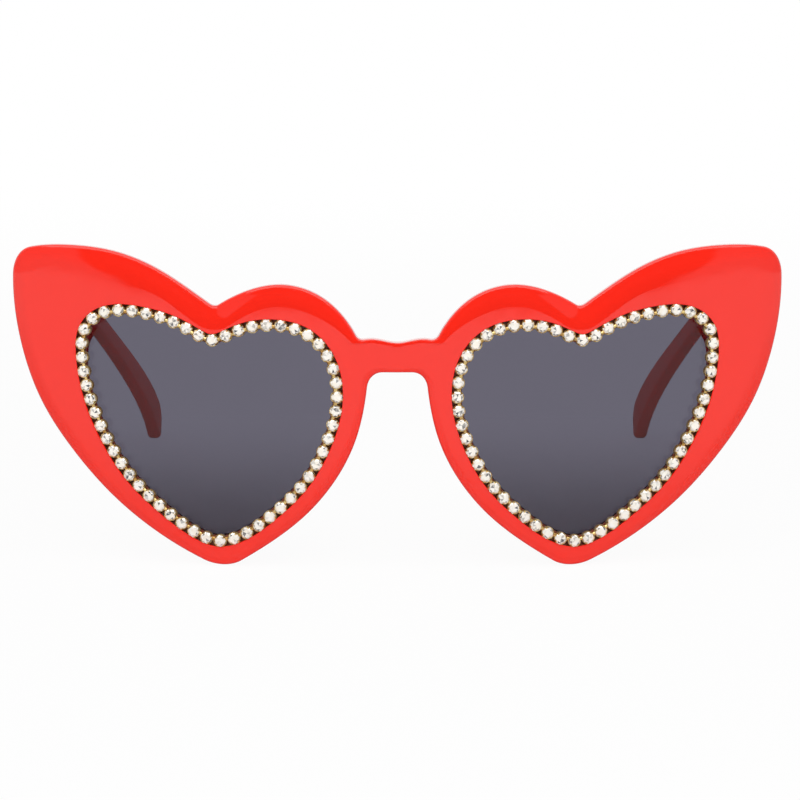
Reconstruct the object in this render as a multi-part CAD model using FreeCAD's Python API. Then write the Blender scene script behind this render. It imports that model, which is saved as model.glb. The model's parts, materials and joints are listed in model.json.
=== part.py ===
import FreeCAD, Part
import math
import os

from FreeCAD import Placement, Rotation, Vector

# Heart shaped sunglasses with stone-set rims. Each heart is drawn round its stone line, the closed
# curve that the stone centres follow. The glasses are modelled as worn (X to the wearer's left,
# Y to the back, Z up) and then stood on their two heart points and two ear tips.
# Driving dimensions, in millimetres and degrees.

# Front
STONE_LINE_WIDTH = 49.6
STONE_LINE_HEIGHT = 44.4
STONE_LINE_GAP = 23.2        # between the two stone lines, across the nose
NOSE_RIM = 5.8               # stone line to the nose edge
POINT_RIM = 4.95             # stone line to the heart's lower point
WING_REACH = 13.8            # stone line to the wing's outer edge
WING_RISE = 12.6             # stone line to the wing's top
BRIDGE_HEIGHT = 6.3
BRIDGE_DIP = 0.6             # hollow in the middle of the bridge's top
BRIDGE_CORNER = 1.7          # rounding where a lobe meets the bridge
NOSE_CORNER = 3.0            # rounding under the bridge
WRAP_RADIUS = 260.0          # the front is bent round the face
FRONT_THICKNESS = 4.6
FRONT_ROUND = 2.2
BACK_ROUND = 1.0

# Nose rests, moulded on the back of the front
REST_LENGTH = 17.0
REST_WIDTH = 4.2
REST_HEIGHT = 4.4            # stands off the back of the front
REST_TILT = 13.0             # follows the nose edge
REST_SPLAY = 24.0            # the rests part towards the back, as the nose widens

# Lenses
LENS_THICKNESS = 1.8
LENS_BITE = 1.3              # how far the lens reaches into its groove
LENS_CLEARANCE = 0.05
LEDGE_THICKNESS = 0.8        # wall between the stone channel and the lens
LEDGE_INSET = 0.95           # stone line to the edge of the opening

# Stones in their claw cups
STONE_DIAMETER = 2.3
STONE_TABLE = 1.36           # across the flat top of a stone
STONE_CROWN = 0.42           # height above the girdle
STONE_PAVILION = 0.8         # depth below the girdle
STONE_SIDES = 8
CUP_WALL = 0.12
CUP_FLOOR = 0.4
CUP_CLEARANCE = 0.03         # stone in cup, and cup on the channel's floor
CHANNEL_CLEARANCE = 0.1      # cup to the channel's wall
CHANNEL_DEPTH = 1.2
CLAW_COUNT = 4
CLAW_RISE = 0.36
CLAW_REACH = 0.3             # how far a claw leans over its stone
CLAW_WIDTH = 0.42
LINK_GAP = 0.33              # least room between two cups
LINK_WIDTH = 0.5
LINK_THICKNESS = 0.35
LINK_CLEARANCE = 0.08

# Hinges
HINGE_DROP = 12.4            # wing's top to the middle of the hinge
KNUCKLE_RADIUS = 1.5
KNUCKLE_LENGTH = 2.2
KNUCKLE_GAP = 0.05
KNUCKLE_RELIEF = 0.3         # round the knuckles, in what they turn past
AXIS_INSET = 0.9             # hinge axis to the inner face of the temple
LEAF_LENGTH = 5.0
LEAF_THICKNESS = 1.0
LEAF_CLEARANCE = 0.02
PIN_RADIUS = 0.7
PIN_CLEARANCE = 0.04
SCREW_HEAD_RADIUS = 1.25
SCREW_HEAD_HEIGHT = 0.7
SLOT_WIDTH = 0.35
SLOT_DEPTH = 0.3
BUTT_GAP = 0.2               # end-piece to temple when open

# End-pieces
END_INSET = 2.0              # wing's outer edge to the temple's outer face
END_REACH = 5.0              # end-piece beyond the back of the wing
END_FILLET = 3.0             # root of the end-piece, on the inside

# Temples
TEMPLE_THICKNESS = 4.2
TEMPLE_MID_THICKNESS = 2.9
TEMPLE_HEIGHT = 10.8
TEMPLE_MID_HEIGHT = 6.6
TEMPLE_TIP_HEIGHT = 10.0
TEMPLE_SLOPE = 4.9
TEMPLE_STRAIGHT = 70.4       # hinge to the start of the ear bend
TEMPLE_TAPER = 40.0          # run over which the temple thins from the hinge
TEMPLE_ROUND = 1.0
EAR_BEND_RADIUS = 32.8
EAR_BEND_ANGLE = 34.9
EAR_LENGTH = 35.5            # end of the bend to the middle of the round tip
EAR_TUCK = 14.9              # how far the tips come in
TUCK_START = 58.7            # hinge to where they start to come in
TUCK_SLANT = 65.0            # the tuck follows the fall of the ear piece, so its lower edge leans in

# Outlines, as shares of the stone line's box (0 to 1), and past the box as shares of the rim there.
STONE_LINE = (
    (0.486, 0.880), (0.550, 0.907), (0.647, 0.961), (0.760, 0.995), (0.857, 1.016), (0.938, 0.981),
    (0.992, 0.914), (1.009, 0.819), (0.976, 0.634), (0.911, 0.452), (0.819, 0.287), (0.653, 0.110),
    (0.540, 0.026), (0.464, 0.000), (0.391, 0.017), (0.258, 0.114), (0.133, 0.253), (0.046, 0.422),
    (0.000, 0.632), (0.034, 0.810), (0.117, 0.908), (0.250, 0.947), (0.371, 0.928), (0.435, 0.898))
LOBE_TOP = ((-0.621, 0.904), (-0.207, 0.985), (0.069, 1.262), (0.218, 1.426), (0.347, 1.333), (0.462, 1.110))
WING_TOP = ((0.496, 1.120), (0.583, 1.361), (0.722, 1.694), (0.887, 1.925), (1.196, 2.000), (1.587, 1.988),
            (1.745, 1.962))
WING_SIDE = ((2.000, 1.528), (1.982, 1.052), (1.877, 0.831), (1.601, 0.596), (1.159, 0.386), (0.879, 0.182),
             (0.724, 0.043), (0.524, -0.775))
NOSE_SIDE = ((0.375, -0.780), (0.260, -0.051), (0.119, 0.120), (0.000, 0.282), (-0.603, 0.440), (-0.880, 0.575))
NOSE_EDGE = -0.995           # share of the nose rim where the bridge starts
BRIDGE_TOP_LEVEL = 0.885
REST_LEVEL = 0.54
TAPER_SHARE = 0.9            # the most of the run before the tuck that the taper takes
CORNER_FULLNESS = 0.6
OFFSET_POINTS = 64

# Worked out from the driving dimensions.
NOSE_X = STONE_LINE_GAP / 2
STONE_LINE_TOP = POINT_RIM + STONE_LINE_HEIGHT
WING_X = NOSE_X + STONE_LINE_WIDTH + WING_REACH
WING_Z = STONE_LINE_TOP + WING_RISE
FLAT = math.cos(math.pi / STONE_SIDES)
CUP_RADIUS = STONE_DIAMETER / 2 + CUP_CLEARANCE + CUP_WALL
CUP_HEIGHT = CUP_FLOOR + STONE_PAVILION + CUP_CLEARANCE
CHANNEL_EDGE = CUP_RADIUS + CHANNEL_CLEARANCE
LENS_FRONT = CHANNEL_DEPTH + LEDGE_THICKNESS
LENS_BACK = LENS_FRONT + LENS_THICKNESS + 2 * LENS_CLEARANCE
LENS_EDGE = LENS_BITE - LEDGE_INSET
SIDE_OUTER = WING_X - END_INSET
SIDE_INNER = SIDE_OUTER - TEMPLE_THICKNESS
HINGE_X = SIDE_INNER - AXIS_INSET
HINGE_Z = WING_Z - HINGE_DROP
HINGE_HALF = 1.5 * KNUCKLE_LENGTH + KNUCKLE_GAP
ALL_ROUND = 4 * WING_X       # longer than anything that is cut


def heart_point(across, up):
    """Turn shares of the right-hand stone line's box into a point of the front's plane."""
    if across < 0:
        x = NOSE_X + across * NOSE_RIM
    elif across <= 1:
        x = NOSE_X + across * STONE_LINE_WIDTH
    else:
        x = NOSE_X + STONE_LINE_WIDTH + (across - 1) * WING_REACH
    if up < 0:
        z = POINT_RIM * (1 + up)
    elif up <= 1:
        z = POINT_RIM + up * STONE_LINE_HEIGHT
    else:
        z = STONE_LINE_TOP + (up - 1) * WING_RISE
    return Vector(x, 0, z)


def heart_points(shares):
    """Turn a list of shares into points."""
    return [heart_point(across, up) for across, up in shares]


def through(points, closed=False, ways=None):
    """A smooth curve through points, with its first and last directions where they are given."""
    curve = Part.BSplineCurve()
    if ways:
        curve.interpolate(Points=points, InitialTangent=ways[0], FinalTangent=ways[1])
    else:
        curve.interpolate(Points=points, PeriodicFlag=closed)
    return curve


def corner(before, after):
    """Round the corner between the end of one curve and the start of the next."""
    start = before.value(before.LastParameter)
    end = after.value(after.FirstParameter)
    leaving = before.tangent(before.LastParameter)[0]
    arriving = after.tangent(after.FirstParameter)[0]
    gap = end - start
    turn = leaving.x * arriving.z - leaving.z * arriving.x
    ahead = (gap.x * arriving.z - gap.z * arriving.x) / turn
    back = (leaving.x * gap.z - leaving.z * gap.x) / turn
    rounded = Part.BezierCurve()
    rounded.setPoles([start, start + leaving * (ahead * CORNER_FULLNESS),
                      end - arriving * (back * CORNER_FULLNESS), end])
    return rounded


def mirrored(shape):
    """The same shape on the other side of the nose."""
    return shape.mirror(Vector(0, 0, 0), Vector(1, 0, 0))


def wrap(x, depth=0.0):
    """How far back the front lies at x, at a depth below its front surface."""
    return WRAP_RADIUS - math.sqrt((WRAP_RADIUS - depth) ** 2 - x ** 2)


def wrap_normal(x):
    """The direction that the front faces at x."""
    return Vector(x, -math.sqrt(WRAP_RADIUS ** 2 - x ** 2), 0) / WRAP_RADIUS


def layer(near, far):
    """The part of the bent front between two depths below its front surface."""
    foot = Vector(0, WRAP_RADIUS, -ALL_ROUND / 2)
    outer = Part.makeCylinder(WRAP_RADIUS - near, ALL_ROUND, foot)
    return outer.cut(Part.makeCylinder(WRAP_RADIUS - far, ALL_ROUND, foot))


def prism(edges):
    """An outline of the front's plane, run from well before the front to well behind it."""
    face = Part.Face(Part.Wire(edges))
    face.translate(Vector(0, -WING_REACH, 0))
    return face.extrude(Vector(0, WRAP_RADIUS / 2, 0))


def front_outline():
    """The outer edge of the front: bridge, lobes, wings, heart points and nose."""
    lobe = through(heart_points(LOBE_TOP))
    wing = through(heart_points(WING_TOP))
    side = through(heart_points(WING_SIDE))
    level = heart_point(0, BRIDGE_TOP_LEVEL).z
    under = level - BRIDGE_HEIGHT
    nose_edge = heart_point(NOSE_EDGE, 0).x
    nose = through(heart_points(NOSE_SIDE) + [Vector(nose_edge, 0, under - NOSE_CORNER)])
    half_top = heart_point(LOBE_TOP[0][0], 0).x - BRIDGE_CORNER
    crest = [Vector(half_top * share, 0, level - BRIDGE_DIP * dip)
             for share, dip in ((-1, 0), (-0.4, 0.35), (0, 1), (0.4, 0.35), (1, 0))]
    bridge_top = through(crest)
    half_under = nose_edge - min(NOSE_CORNER, 0.6 * nose_edge)
    bridge_under = Part.LineSegment(Vector(half_under, 0, under), Vector(-half_under, 0, under))
    curves = [bridge_top, lobe, wing, side, nose, bridge_under]
    right = []
    for before, after in zip(curves, curves[1:]):
        right.append(corner(before, after).toShape())
        right.append(after.toShape())
    right.pop()
    left = [mirrored(edge) for edge in reversed(right)]
    return [bridge_top.toShape()] + right + [bridge_under.toShape()] + left


def stone_line():
    """The closed curve that the right-hand stones follow, clockwise from the heart's notch."""
    return through(heart_points(STONE_LINE), closed=True)


def along(curve, count):
    """Even places along a closed curve, as pairs of point and direction."""
    step = curve.length() / count
    places = [curve.parameterAtDistance(step * i, curve.FirstParameter) for i in range(count)]
    return [(curve.value(place), curve.tangent(place)[0]) for place in places]


def heart_prism(distance):
    """A prism on the stone line moved outwards by a distance."""
    moved = [point + Vector(-way.z, 0, way.x) * distance for point, way in along(stone_line(), OFFSET_POINTS)]
    return prism([through(moved, closed=True).toShape()])


def edges_at(shape, radius):
    """The edges of a shape that lie on the bent front's cylinder of a radius."""
    def on(edge):
        spots = [edge.valueAt(edge.FirstParameter + share * (edge.LastParameter - edge.FirstParameter))
                 for share in (0, 0.3, 0.6, 1)]
        return all(abs(math.hypot(spot.x, spot.y - WRAP_RADIUS) - radius) < 1e-3 for spot in spots)
    return [edge for edge in shape.Edges if on(edge)]


def cylinder_up(radius, bottom, top):
    """A cylinder about the right-hand hinge's axis between two heights."""
    return Part.makeCylinder(radius, top - bottom, Vector(HINGE_X, butt_y(), bottom))


def butt_y():
    """The plane where the end-pieces meet the temples."""
    return wrap(SIDE_OUTER, FRONT_THICKNESS) + END_REACH


def knuckle_levels():
    """Bottom and top of the three knuckles, from the lowest up."""
    step = KNUCKLE_LENGTH + KNUCKLE_GAP
    lowest = HINGE_Z - HINGE_HALF
    return [(lowest + i * step, lowest + i * step + KNUCKLE_LENGTH) for i in range(3)]


def knuckle_relief(levels):
    """The room that turning knuckles need in what is beside them."""
    radius = KNUCKLE_RADIUS + KNUCKLE_RELIEF
    bottom, top = levels
    return cylinder_up(radius, bottom - KNUCKLE_GAP, top + KNUCKLE_GAP)


def screw_room():
    """The room round the screw's head."""
    top = knuckle_levels()[2][1]
    return cylinder_up(SCREW_HEAD_RADIUS + KNUCKLE_RELIEF, top, top + SCREW_HEAD_HEIGHT + KNUCKLE_RELIEF)


def leaf_plate(way, spare=0.0):
    """The flat of a right-hand hinge leaf, reaching forwards (-1) or backwards (1) from the butt."""
    half = HINGE_HALF + spare
    near = butt_y() + way * (BUTT_GAP / 2 - (BUTT_GAP if spare else 0))
    straight = butt_y() + way * (LEAF_LENGTH - HINGE_HALF)
    x = SIDE_INNER
    corners = [Vector(x, near, HINGE_Z - half), Vector(x, straight, HINGE_Z - half),
               Vector(x, straight + way * half, HINGE_Z), Vector(x, straight, HINGE_Z + half),
               Vector(x, near, HINGE_Z + half)]
    outline = [Part.LineSegment(corners[0], corners[1]), Part.Arc(corners[1], corners[2], corners[3]),
               Part.LineSegment(corners[3], corners[4]), Part.LineSegment(corners[4], corners[0])]
    face = Part.Face(Part.Wire([line.toShape() for line in outline]))
    if spare:
        face.translate(Vector(-AXIS_INSET, 0, 0))
        return face.extrude(Vector(AXIS_INSET + LEAF_THICKNESS + spare, 0, 0))
    return face.extrude(Vector(LEAF_THICKNESS, 0, 0))


def hinge_leaf(way, own, other):
    """A right-hand hinge leaf with its own knuckles, cleared for the other leaf's."""
    leaf = leaf_plate(way)
    for levels in other:
        leaf = leaf.cut(knuckle_relief(levels))
    for bottom, top in own:
        leaf = leaf.fuse(cylinder_up(KNUCKLE_RADIUS, bottom, top))
    bore = cylinder_up(PIN_RADIUS + PIN_CLEARANCE, HINGE_Z - ALL_ROUND / 2, HINGE_Z + ALL_ROUND / 2)
    return leaf.cut(bore).removeSplitter()


def hinge_screw():
    """The slotted screw that the right-hand temple turns on."""
    bottom, top = knuckle_levels()[0][0], knuckle_levels()[2][1] + LEAF_CLEARANCE
    shank = cylinder_up(PIN_RADIUS, bottom, top)
    head = cylinder_up(SCREW_HEAD_RADIUS, top, top + SCREW_HEAD_HEIGHT)
    rim = [edge for edge in head.Edges if edge.BoundBox.ZMin > top + SCREW_HEAD_HEIGHT / 2 and edge.Closed]
    head = head.makeFillet(SCREW_HEAD_HEIGHT / 2, rim)
    slot = Part.makeBox(SLOT_WIDTH, 3 * SCREW_HEAD_RADIUS, SLOT_DEPTH)
    slot.translate(Vector(HINGE_X - SLOT_WIDTH / 2, butt_y() - 1.5 * SCREW_HEAD_RADIUS,
                          top + SCREW_HEAD_HEIGHT - SLOT_DEPTH))
    return shank.fuse(head).cut(slot).removeSplitter()


def end_piece():
    """The right-hand block behind the wing that carries the hinge, with its filleted root."""
    near = wrap(SIDE_INNER, FRONT_THICKNESS / 2)
    far = butt_y() - BUTT_GAP / 2
    root = wrap(SIDE_INNER - END_FILLET, FRONT_THICKNESS)
    bottom, top = HINGE_Z - TEMPLE_HEIGHT / 2, HINGE_Z + TEMPLE_HEIGHT / 2
    inside = SIDE_INNER - END_FILLET
    corners = [Vector(inside, near, 0), Vector(inside, root, 0), Vector(SIDE_INNER, root + END_FILLET, 0),
               Vector(SIDE_INNER, far, 0), Vector(SIDE_OUTER, far, 0), Vector(SIDE_OUTER, near, 0)]
    turn = END_FILLET * math.sqrt(0.5)
    hollow = Vector(inside + turn, root + END_FILLET - turn, 0)
    plan = [Part.LineSegment(corners[0], corners[1]), Part.Arc(corners[1], hollow, corners[2])]
    plan += [Part.LineSegment(corners[i], corners[(i + 1) % 6]) for i in range(2, 6)]
    face = Part.Face(Part.Wire([line.toShape() for line in plan]))
    face.translate(Vector(0, 0, bottom))
    block = face.extrude(Vector(0, 0, top - bottom))
    outer = [edge for edge in block.Edges
             if edge.BoundBox.XMin > SIDE_OUTER - 1e-3 and edge.BoundBox.YLength > END_REACH / 2]
    return block.makeFillet(TEMPLE_ROUND, outer)


def nose_rest():
    """The right-hand nose rest, a rounded pad that grows out of the back of the nose rim."""
    pad = Part.makeSphere(1.0)
    scale = FreeCAD.Matrix()
    scale.scale(REST_WIDTH / 2, REST_HEIGHT + FRONT_THICKNESS / 2, REST_LENGTH / 2)
    pad = pad.transformGeometry(scale)
    middle = heart_point(0, REST_LEVEL)
    x = middle.x - NOSE_RIM / 2
    turn = Rotation(Vector(0, 0, 1), -REST_SPLAY).multiply(Rotation(Vector(0, 1, 0), -REST_TILT))
    pad.Placement = Placement(Vector(x, wrap(x, FRONT_THICKNESS / 2), middle.z), turn)
    return pad.common(layer(FRONT_THICKNESS / 2, WRAP_RADIUS / 2))


def frame_front():
    """The one-piece moulded front."""
    front = prism(front_outline()).common(layer(0, FRONT_THICKNESS))
    front = front.makeFillet(FRONT_ROUND, edges_at(front, WRAP_RADIUS))
    front = front.makeFillet(BACK_ROUND, edges_at(front, WRAP_RADIUS - FRONT_THICKNESS))
    additions = [nose_rest(), end_piece()]
    front = front.fuse(additions + [mirrored(piece) for piece in additions])
    channel = heart_prism(CHANNEL_EDGE).common(layer(-WING_REACH, CHANNEL_DEPTH))
    opening = heart_prism(-LEDGE_INSET)
    groove = heart_prism(LENS_EDGE + LENS_CLEARANCE).common(layer(LENS_FRONT, LENS_BACK))
    pocket = leaf_plate(-1, LEAF_CLEARANCE)
    middle = knuckle_relief(knuckle_levels()[1])
    knuckles = [cylinder_up(KNUCKLE_RADIUS + LEAF_CLEARANCE, bottom - LEAF_CLEARANCE, top + LEAF_CLEARANCE)
                for bottom, top in (knuckle_levels()[0], knuckle_levels()[2])]
    cuts = [channel, opening, groove, pocket, middle, screw_room()] + knuckles
    return front.cut(cuts + [mirrored(piece) for piece in cuts]).removeSplitter()


def lens():
    """The right-hand lens, bent with the front and held in its groove."""
    return heart_prism(LENS_EDGE).common(layer(LENS_FRONT + LENS_CLEARANCE, LENS_BACK - LENS_CLEARANCE))


def polygon(radius, height):
    """A level regular outline with a flat towards +X."""
    turns = [math.tau * (i + 0.5) / STONE_SIDES for i in range(STONE_SIDES)]
    points = [Vector(radius * math.cos(turn), radius * math.sin(turn), height) for turn in turns]
    return Part.makePolygon(points + points[:1])


def cup():
    """One claw cup, upright on the origin."""
    body = Part.Face(polygon(CUP_RADIUS, 0)).extrude(Vector(0, 0, CUP_HEIGHT))
    seat = Part.makeLoft([polygon(STONE_DIAMETER / 2 * CUP_CLEARANCE, CUP_FLOOR),
                          polygon(STONE_DIAMETER / 2 + CUP_CLEARANCE, CUP_HEIGHT)], True, True)
    outside = CUP_RADIUS * FLAT
    inside = (CUP_RADIUS - CUP_WALL) * FLAT
    claw_line = [Vector(outside, 0, CUP_HEIGHT), Vector(outside, 0, CUP_HEIGHT + 0.8 * CLAW_RISE),
                 Vector(outside - CLAW_REACH, 0, CUP_HEIGHT + CLAW_RISE), Vector(inside, 0, CUP_HEIGHT)]
    face = Part.Face(Part.makePolygon(claw_line + claw_line[:1]))
    face.translate(Vector(0, -CLAW_WIDTH / 2, 0))
    claw = face.extrude(Vector(0, CLAW_WIDTH, 0))
    claws = []
    for i in range(CLAW_COUNT):
        turned = claw.copy()
        turned.rotate(Vector(0, 0, 0), Vector(0, 0, 1), 360 * (i + 0.5) / CLAW_COUNT)
        claws.append(turned)
    return body.cut(seat).fuse(claws)


def crystal():
    """One brilliant stone, in its place in an upright cup."""
    girdle = polygon(STONE_DIAMETER / 2, CUP_HEIGHT)
    table = polygon(STONE_TABLE / 2, CUP_HEIGHT + STONE_CROWN)
    point = Vector(0, 0, CUP_HEIGHT - STONE_PAVILION)
    sides = Part.makeLoft([girdle, table], False, True).Faces
    ring = [vertex.Point for vertex in girdle.Vertexes]
    below = [Part.Face(Part.makePolygon([a, b, point, a])) for a, b in zip(ring, ring[1:] + ring[:1])]
    return Part.Solid(Part.Shell(sides + [Part.Face(table)] + below))


def chain_places():
    """Each stone's upright placement on the floor of the right-hand channel, and the spacing."""
    line = stone_line()
    pitch = 2 * CUP_RADIUS * FLAT + LINK_GAP
    count = int(line.length() / pitch)
    places = []
    for point, way in along(line, count):
        face = wrap_normal(point.x)
        run = Vector(way.x, way.x * math.tan(math.asin(point.x / WRAP_RADIUS)), way.z)
        foot = Vector(point.x, wrap(point.x), point.z) - face * (CHANNEL_DEPTH - CUP_CLEARANCE)
        places.append(Placement(foot, Rotation(run, Vector(0, 0, 0), face, "ZXY")))
    return places


def placed(shape, place):
    """A copy of a shape, moved into its place."""
    return shape.transformed(place.toMatrix(), True)


def repeated(shape, places):
    """A group of copies of a shape."""
    return Part.makeCompound([placed(shape, place) for place in places])


def chain_links(places):
    """The bars between neighbouring cups."""
    links = []
    for here, there in zip(places, places[1:] + places[:1]):
        up = here.Rotation.multVec(Vector(0, 0, 1)) + there.Rotation.multVec(Vector(0, 0, 1))
        middle = (here.Base + there.Base) / 2
        length = (there.Base - here.Base).Length - 2 * (CUP_RADIUS * FLAT + LINK_CLEARANCE)
        bar = Part.makeBox(length, LINK_WIDTH, LINK_THICKNESS)
        bar.translate(Vector(-length / 2, -LINK_WIDTH / 2, (CUP_HEIGHT - LINK_THICKNESS) / 2))
        links.append(placed(bar, Placement(middle, Rotation(there.Base - here.Base, Vector(0, 0, 0), up, "XZY"))))
    return Part.makeCompound(links)


def temple_line(run):
    """A point of the temple's middle line, seen from the side, and its upward normal."""
    slope = math.radians(TEMPLE_SLOPE)
    bend = math.radians(EAR_BEND_ANGLE)
    bend_run = EAR_BEND_RADIUS * bend
    straight = min(run, TEMPLE_STRAIGHT)
    spot = Vector(0, butt_y() + straight * math.cos(slope), HINGE_Z - straight * math.sin(slope))
    turned = slope + min(max(run - TEMPLE_STRAIGHT, 0) / bend_run, 1) * bend
    spot += Vector(0, math.sin(turned) - math.sin(slope), math.cos(turned) - math.cos(slope)) * EAR_BEND_RADIUS
    rest = max(run - TEMPLE_STRAIGHT - bend_run, 0)
    spot += Vector(0, math.cos(turned), -math.sin(turned)) * rest
    return spot, Vector(0, math.sin(turned), math.cos(turned))


def temple_side():
    """The right-hand temple's outline seen from the side."""
    bend_run = EAR_BEND_RADIUS * math.radians(EAR_BEND_ANGLE)
    tip_run = TEMPLE_STRAIGHT + bend_run + EAR_LENGTH
    stations = [(TEMPLE_STRAIGHT * 0.5, TEMPLE_MID_HEIGHT), (TEMPLE_STRAIGHT, TEMPLE_MID_HEIGHT),
                (TEMPLE_STRAIGHT + bend_run / 2, TEMPLE_MID_HEIGHT), (TEMPLE_STRAIGHT + bend_run, TEMPLE_MID_HEIGHT),
                (tip_run, TEMPLE_TIP_HEIGHT)]
    butt = butt_y() + BUTT_GAP / 2
    upper = [Vector(0, butt, HINGE_Z + TEMPLE_HEIGHT / 2)]
    lower = [Vector(0, butt, HINGE_Z - TEMPLE_HEIGHT / 2)]
    for run, height in stations:
        spot, normal = temple_line(run)
        upper.append(spot + normal * (height / 2))
        lower.append(spot - normal * (height / 2))
    tip = temple_line(tip_run + TEMPLE_TIP_HEIGHT / 2)[0]
    ways = [temple_line(TEMPLE_STRAIGHT)[0] - temple_line(0)[0], tip - temple_line(tip_run)[0]]
    lines = [through(upper, ways=ways), Part.Arc(upper[-1], tip, lower[-1]),
             through(lower[::-1], ways=[-ways[1], -ways[0]]), Part.LineSegment(lower[0], upper[0])]
    return [line.toShape() for line in lines], tip


def temple_plan(tip):
    """The right-hand temple's outline seen along the slant of its tuck, at the level of the hinge."""
    slant = math.tan(math.radians(TUCK_SLANT))
    hinge = butt_y() + slant * TEMPLE_HEIGHT / 2
    start = butt_y() + TUCK_START
    tucked = tip.y - slant * (tip.z - HINGE_Z)
    end = tucked + slant * TEMPLE_TIP_HEIGHT
    outer, inner = [Vector(SIDE_OUTER, start, 0)], [Vector(SIDE_OUTER - TEMPLE_MID_THICKNESS, start, 0)]
    for share in (0.2, 0.4, 0.6, 0.8, 1.0):
        tuck = EAR_TUCK * share * share * (3 - 2 * share)
        y = start + share * (tucked - start)
        outer.append(Vector(SIDE_OUTER - tuck, y, 0))
        inner.append(Vector(SIDE_OUTER - TEMPLE_MID_THICKNESS - tuck, y, 0))
    back = [Vector(0, 1, 0), Vector(0, 1, 0)]
    forth = [Vector(0, -1, 0), Vector(0, -1, 0)]
    ends = [Vector(point.x, end, 0) for point in (outer[-1], inner[-1])]
    thick = Vector(SIDE_INNER, hinge, 0)
    thin = Vector(inner[0].x, hinge + min(TEMPLE_TAPER, TAPER_SHARE * (start - hinge)), 0)
    near = butt_y() - slant * TEMPLE_HEIGHT
    corners = [Vector(SIDE_INNER, near, 0), Vector(SIDE_OUTER, near, 0)]
    lines = [Part.LineSegment(corners[1], outer[0]), through(outer, ways=back),
             Part.LineSegment(outer[-1], ends[0]), Part.LineSegment(ends[0], ends[1]),
             Part.LineSegment(ends[1], inner[-1]), through(inner[::-1], ways=forth),
             Part.LineSegment(inner[0], thin), taper(thin, thick),
             Part.LineSegment(thick, corners[0]), Part.LineSegment(corners[0], corners[1])]
    return [line.toShape() for line in lines]


def taper(start, end):
    """An S-shaped line between two points, along Y at both of them."""
    way = Vector(0, (end.y - start.y) / 2, 0)
    line = Part.BezierCurve()
    line.setPoles([start, start + way, end - way, end])
    return line


def temple():
    """The right-hand temple with the pocket for its hinge leaf."""
    side, tip = temple_side()
    side_face = Part.Face(Part.Wire(side))
    plan_face = Part.Face(Part.Wire(temple_plan(tip)))
    rise = Vector(0, math.tan(math.radians(TUCK_SLANT)), 1) * WING_Z
    plan_face.translate(Vector(0, 0, HINGE_Z) - rise)
    arm = side_face.extrude(Vector(ALL_ROUND, 0, 0)).common(plan_face.extrude(rise * 2))
    long_edges = [edge for edge in arm.Edges if edge.BoundBox.YLength > TEMPLE_ROUND]
    arm = arm.makeFillet(TEMPLE_ROUND, long_edges)
    cuts = [leaf_plate(1, LEAF_CLEARANCE), screw_room()]
    cuts += [knuckle_relief(levels) for levels in (knuckle_levels()[0], knuckle_levels()[2])]
    bottom, top = knuckle_levels()[1]
    cuts.append(cylinder_up(KNUCKLE_RADIUS + LEAF_CLEARANCE, bottom - LEAF_CLEARANCE, top + LEAF_CLEARANCE))
    return arm.cut(cuts).removeSplitter()


def lowest(shape, lean):
    """The height of a shape's lowest point when the glasses lean back by an angle."""
    tilted = shape.transformed(Placement(Vector(0, 0, 0), Rotation(Vector(1, 0, 0), -lean)).toMatrix(), True)
    return tilted.optimalBoundingBox(False, False).ZMin


def standing(front, arm):
    """The placement that stands the glasses on their heart points and ear tips, centred on the origin."""
    low, high = 0.0, 30.0
    for _ in range(16):
        lean = (low + high) / 2
        if lowest(arm, lean) > lowest(front, lean):
            low = lean
        else:
            high = lean
    lean = (low + high) / 2
    tilt = Placement(Vector(0, 0, 0), Rotation(Vector(1, 0, 0), -lean))
    boxes = [placed(shape, tilt).optimalBoundingBox(False, False) for shape in (front, arm)]
    near = min(box.YMin for box in boxes)
    far = max(box.YMax for box in boxes)
    floor = min(box.ZMin for box in boxes)
    tilt.Base = Vector(0, -(near + far) / 2, -floor)
    return tilt


def main():
    """Build every piece, stand the glasses up and write one file per piece."""
    low, middle, high = knuckle_levels()
    places = chain_places()
    front = frame_front()
    right = {
        "lens": lens(),
        "stone_cups": repeated(cup(), places),
        "stone_links": chain_links(places),
        "crystals": repeated(crystal(), places),
        "front_hinge_leaf": hinge_leaf(-1, (low, high), (middle,)),
        "temple_hinge_leaf": hinge_leaf(1, (middle,), (low, high)),
        "hinge_screw": hinge_screw(),
        "temple": temple(),
    }
    pieces = {"frame_front": front}
    for name, shape in right.items():
        pieces[name + "_left"] = shape
        pieces[name + "_right"] = mirrored(shape)
    stand = standing(front, right["temple"])
    os.makedirs("parts", exist_ok=True)
    for name, shape in pieces.items():
        placed(shape, stand).exportStep("parts/" + name + ".step")
    axis_foot = stand.multVec(Vector(HINGE_X, butt_y(), HINGE_Z))
    axis_way = stand.Rotation.multVec(Vector(0, 0, 1))
    print("stones per lens:", len(places))
    print("lean:", stand.Rotation.toEuler())
    print("hinge axis:", axis_foot, axis_way)


main()
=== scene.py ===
"""Heart shaped sunglasses with stone-set rims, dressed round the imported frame.

Everything is modelled as worn, in metres (X to the wearer's left, Y to the back, Z up), and then
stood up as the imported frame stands, on the two heart points and the two ear tips.
"""

import json
import logging
import math
import random
from dataclasses import dataclass, field
from enum import Enum
from typing import Any, Callable, Sequence

import bmesh
import bpy
import numpy as np
from mathutils import Matrix, Vector

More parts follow.
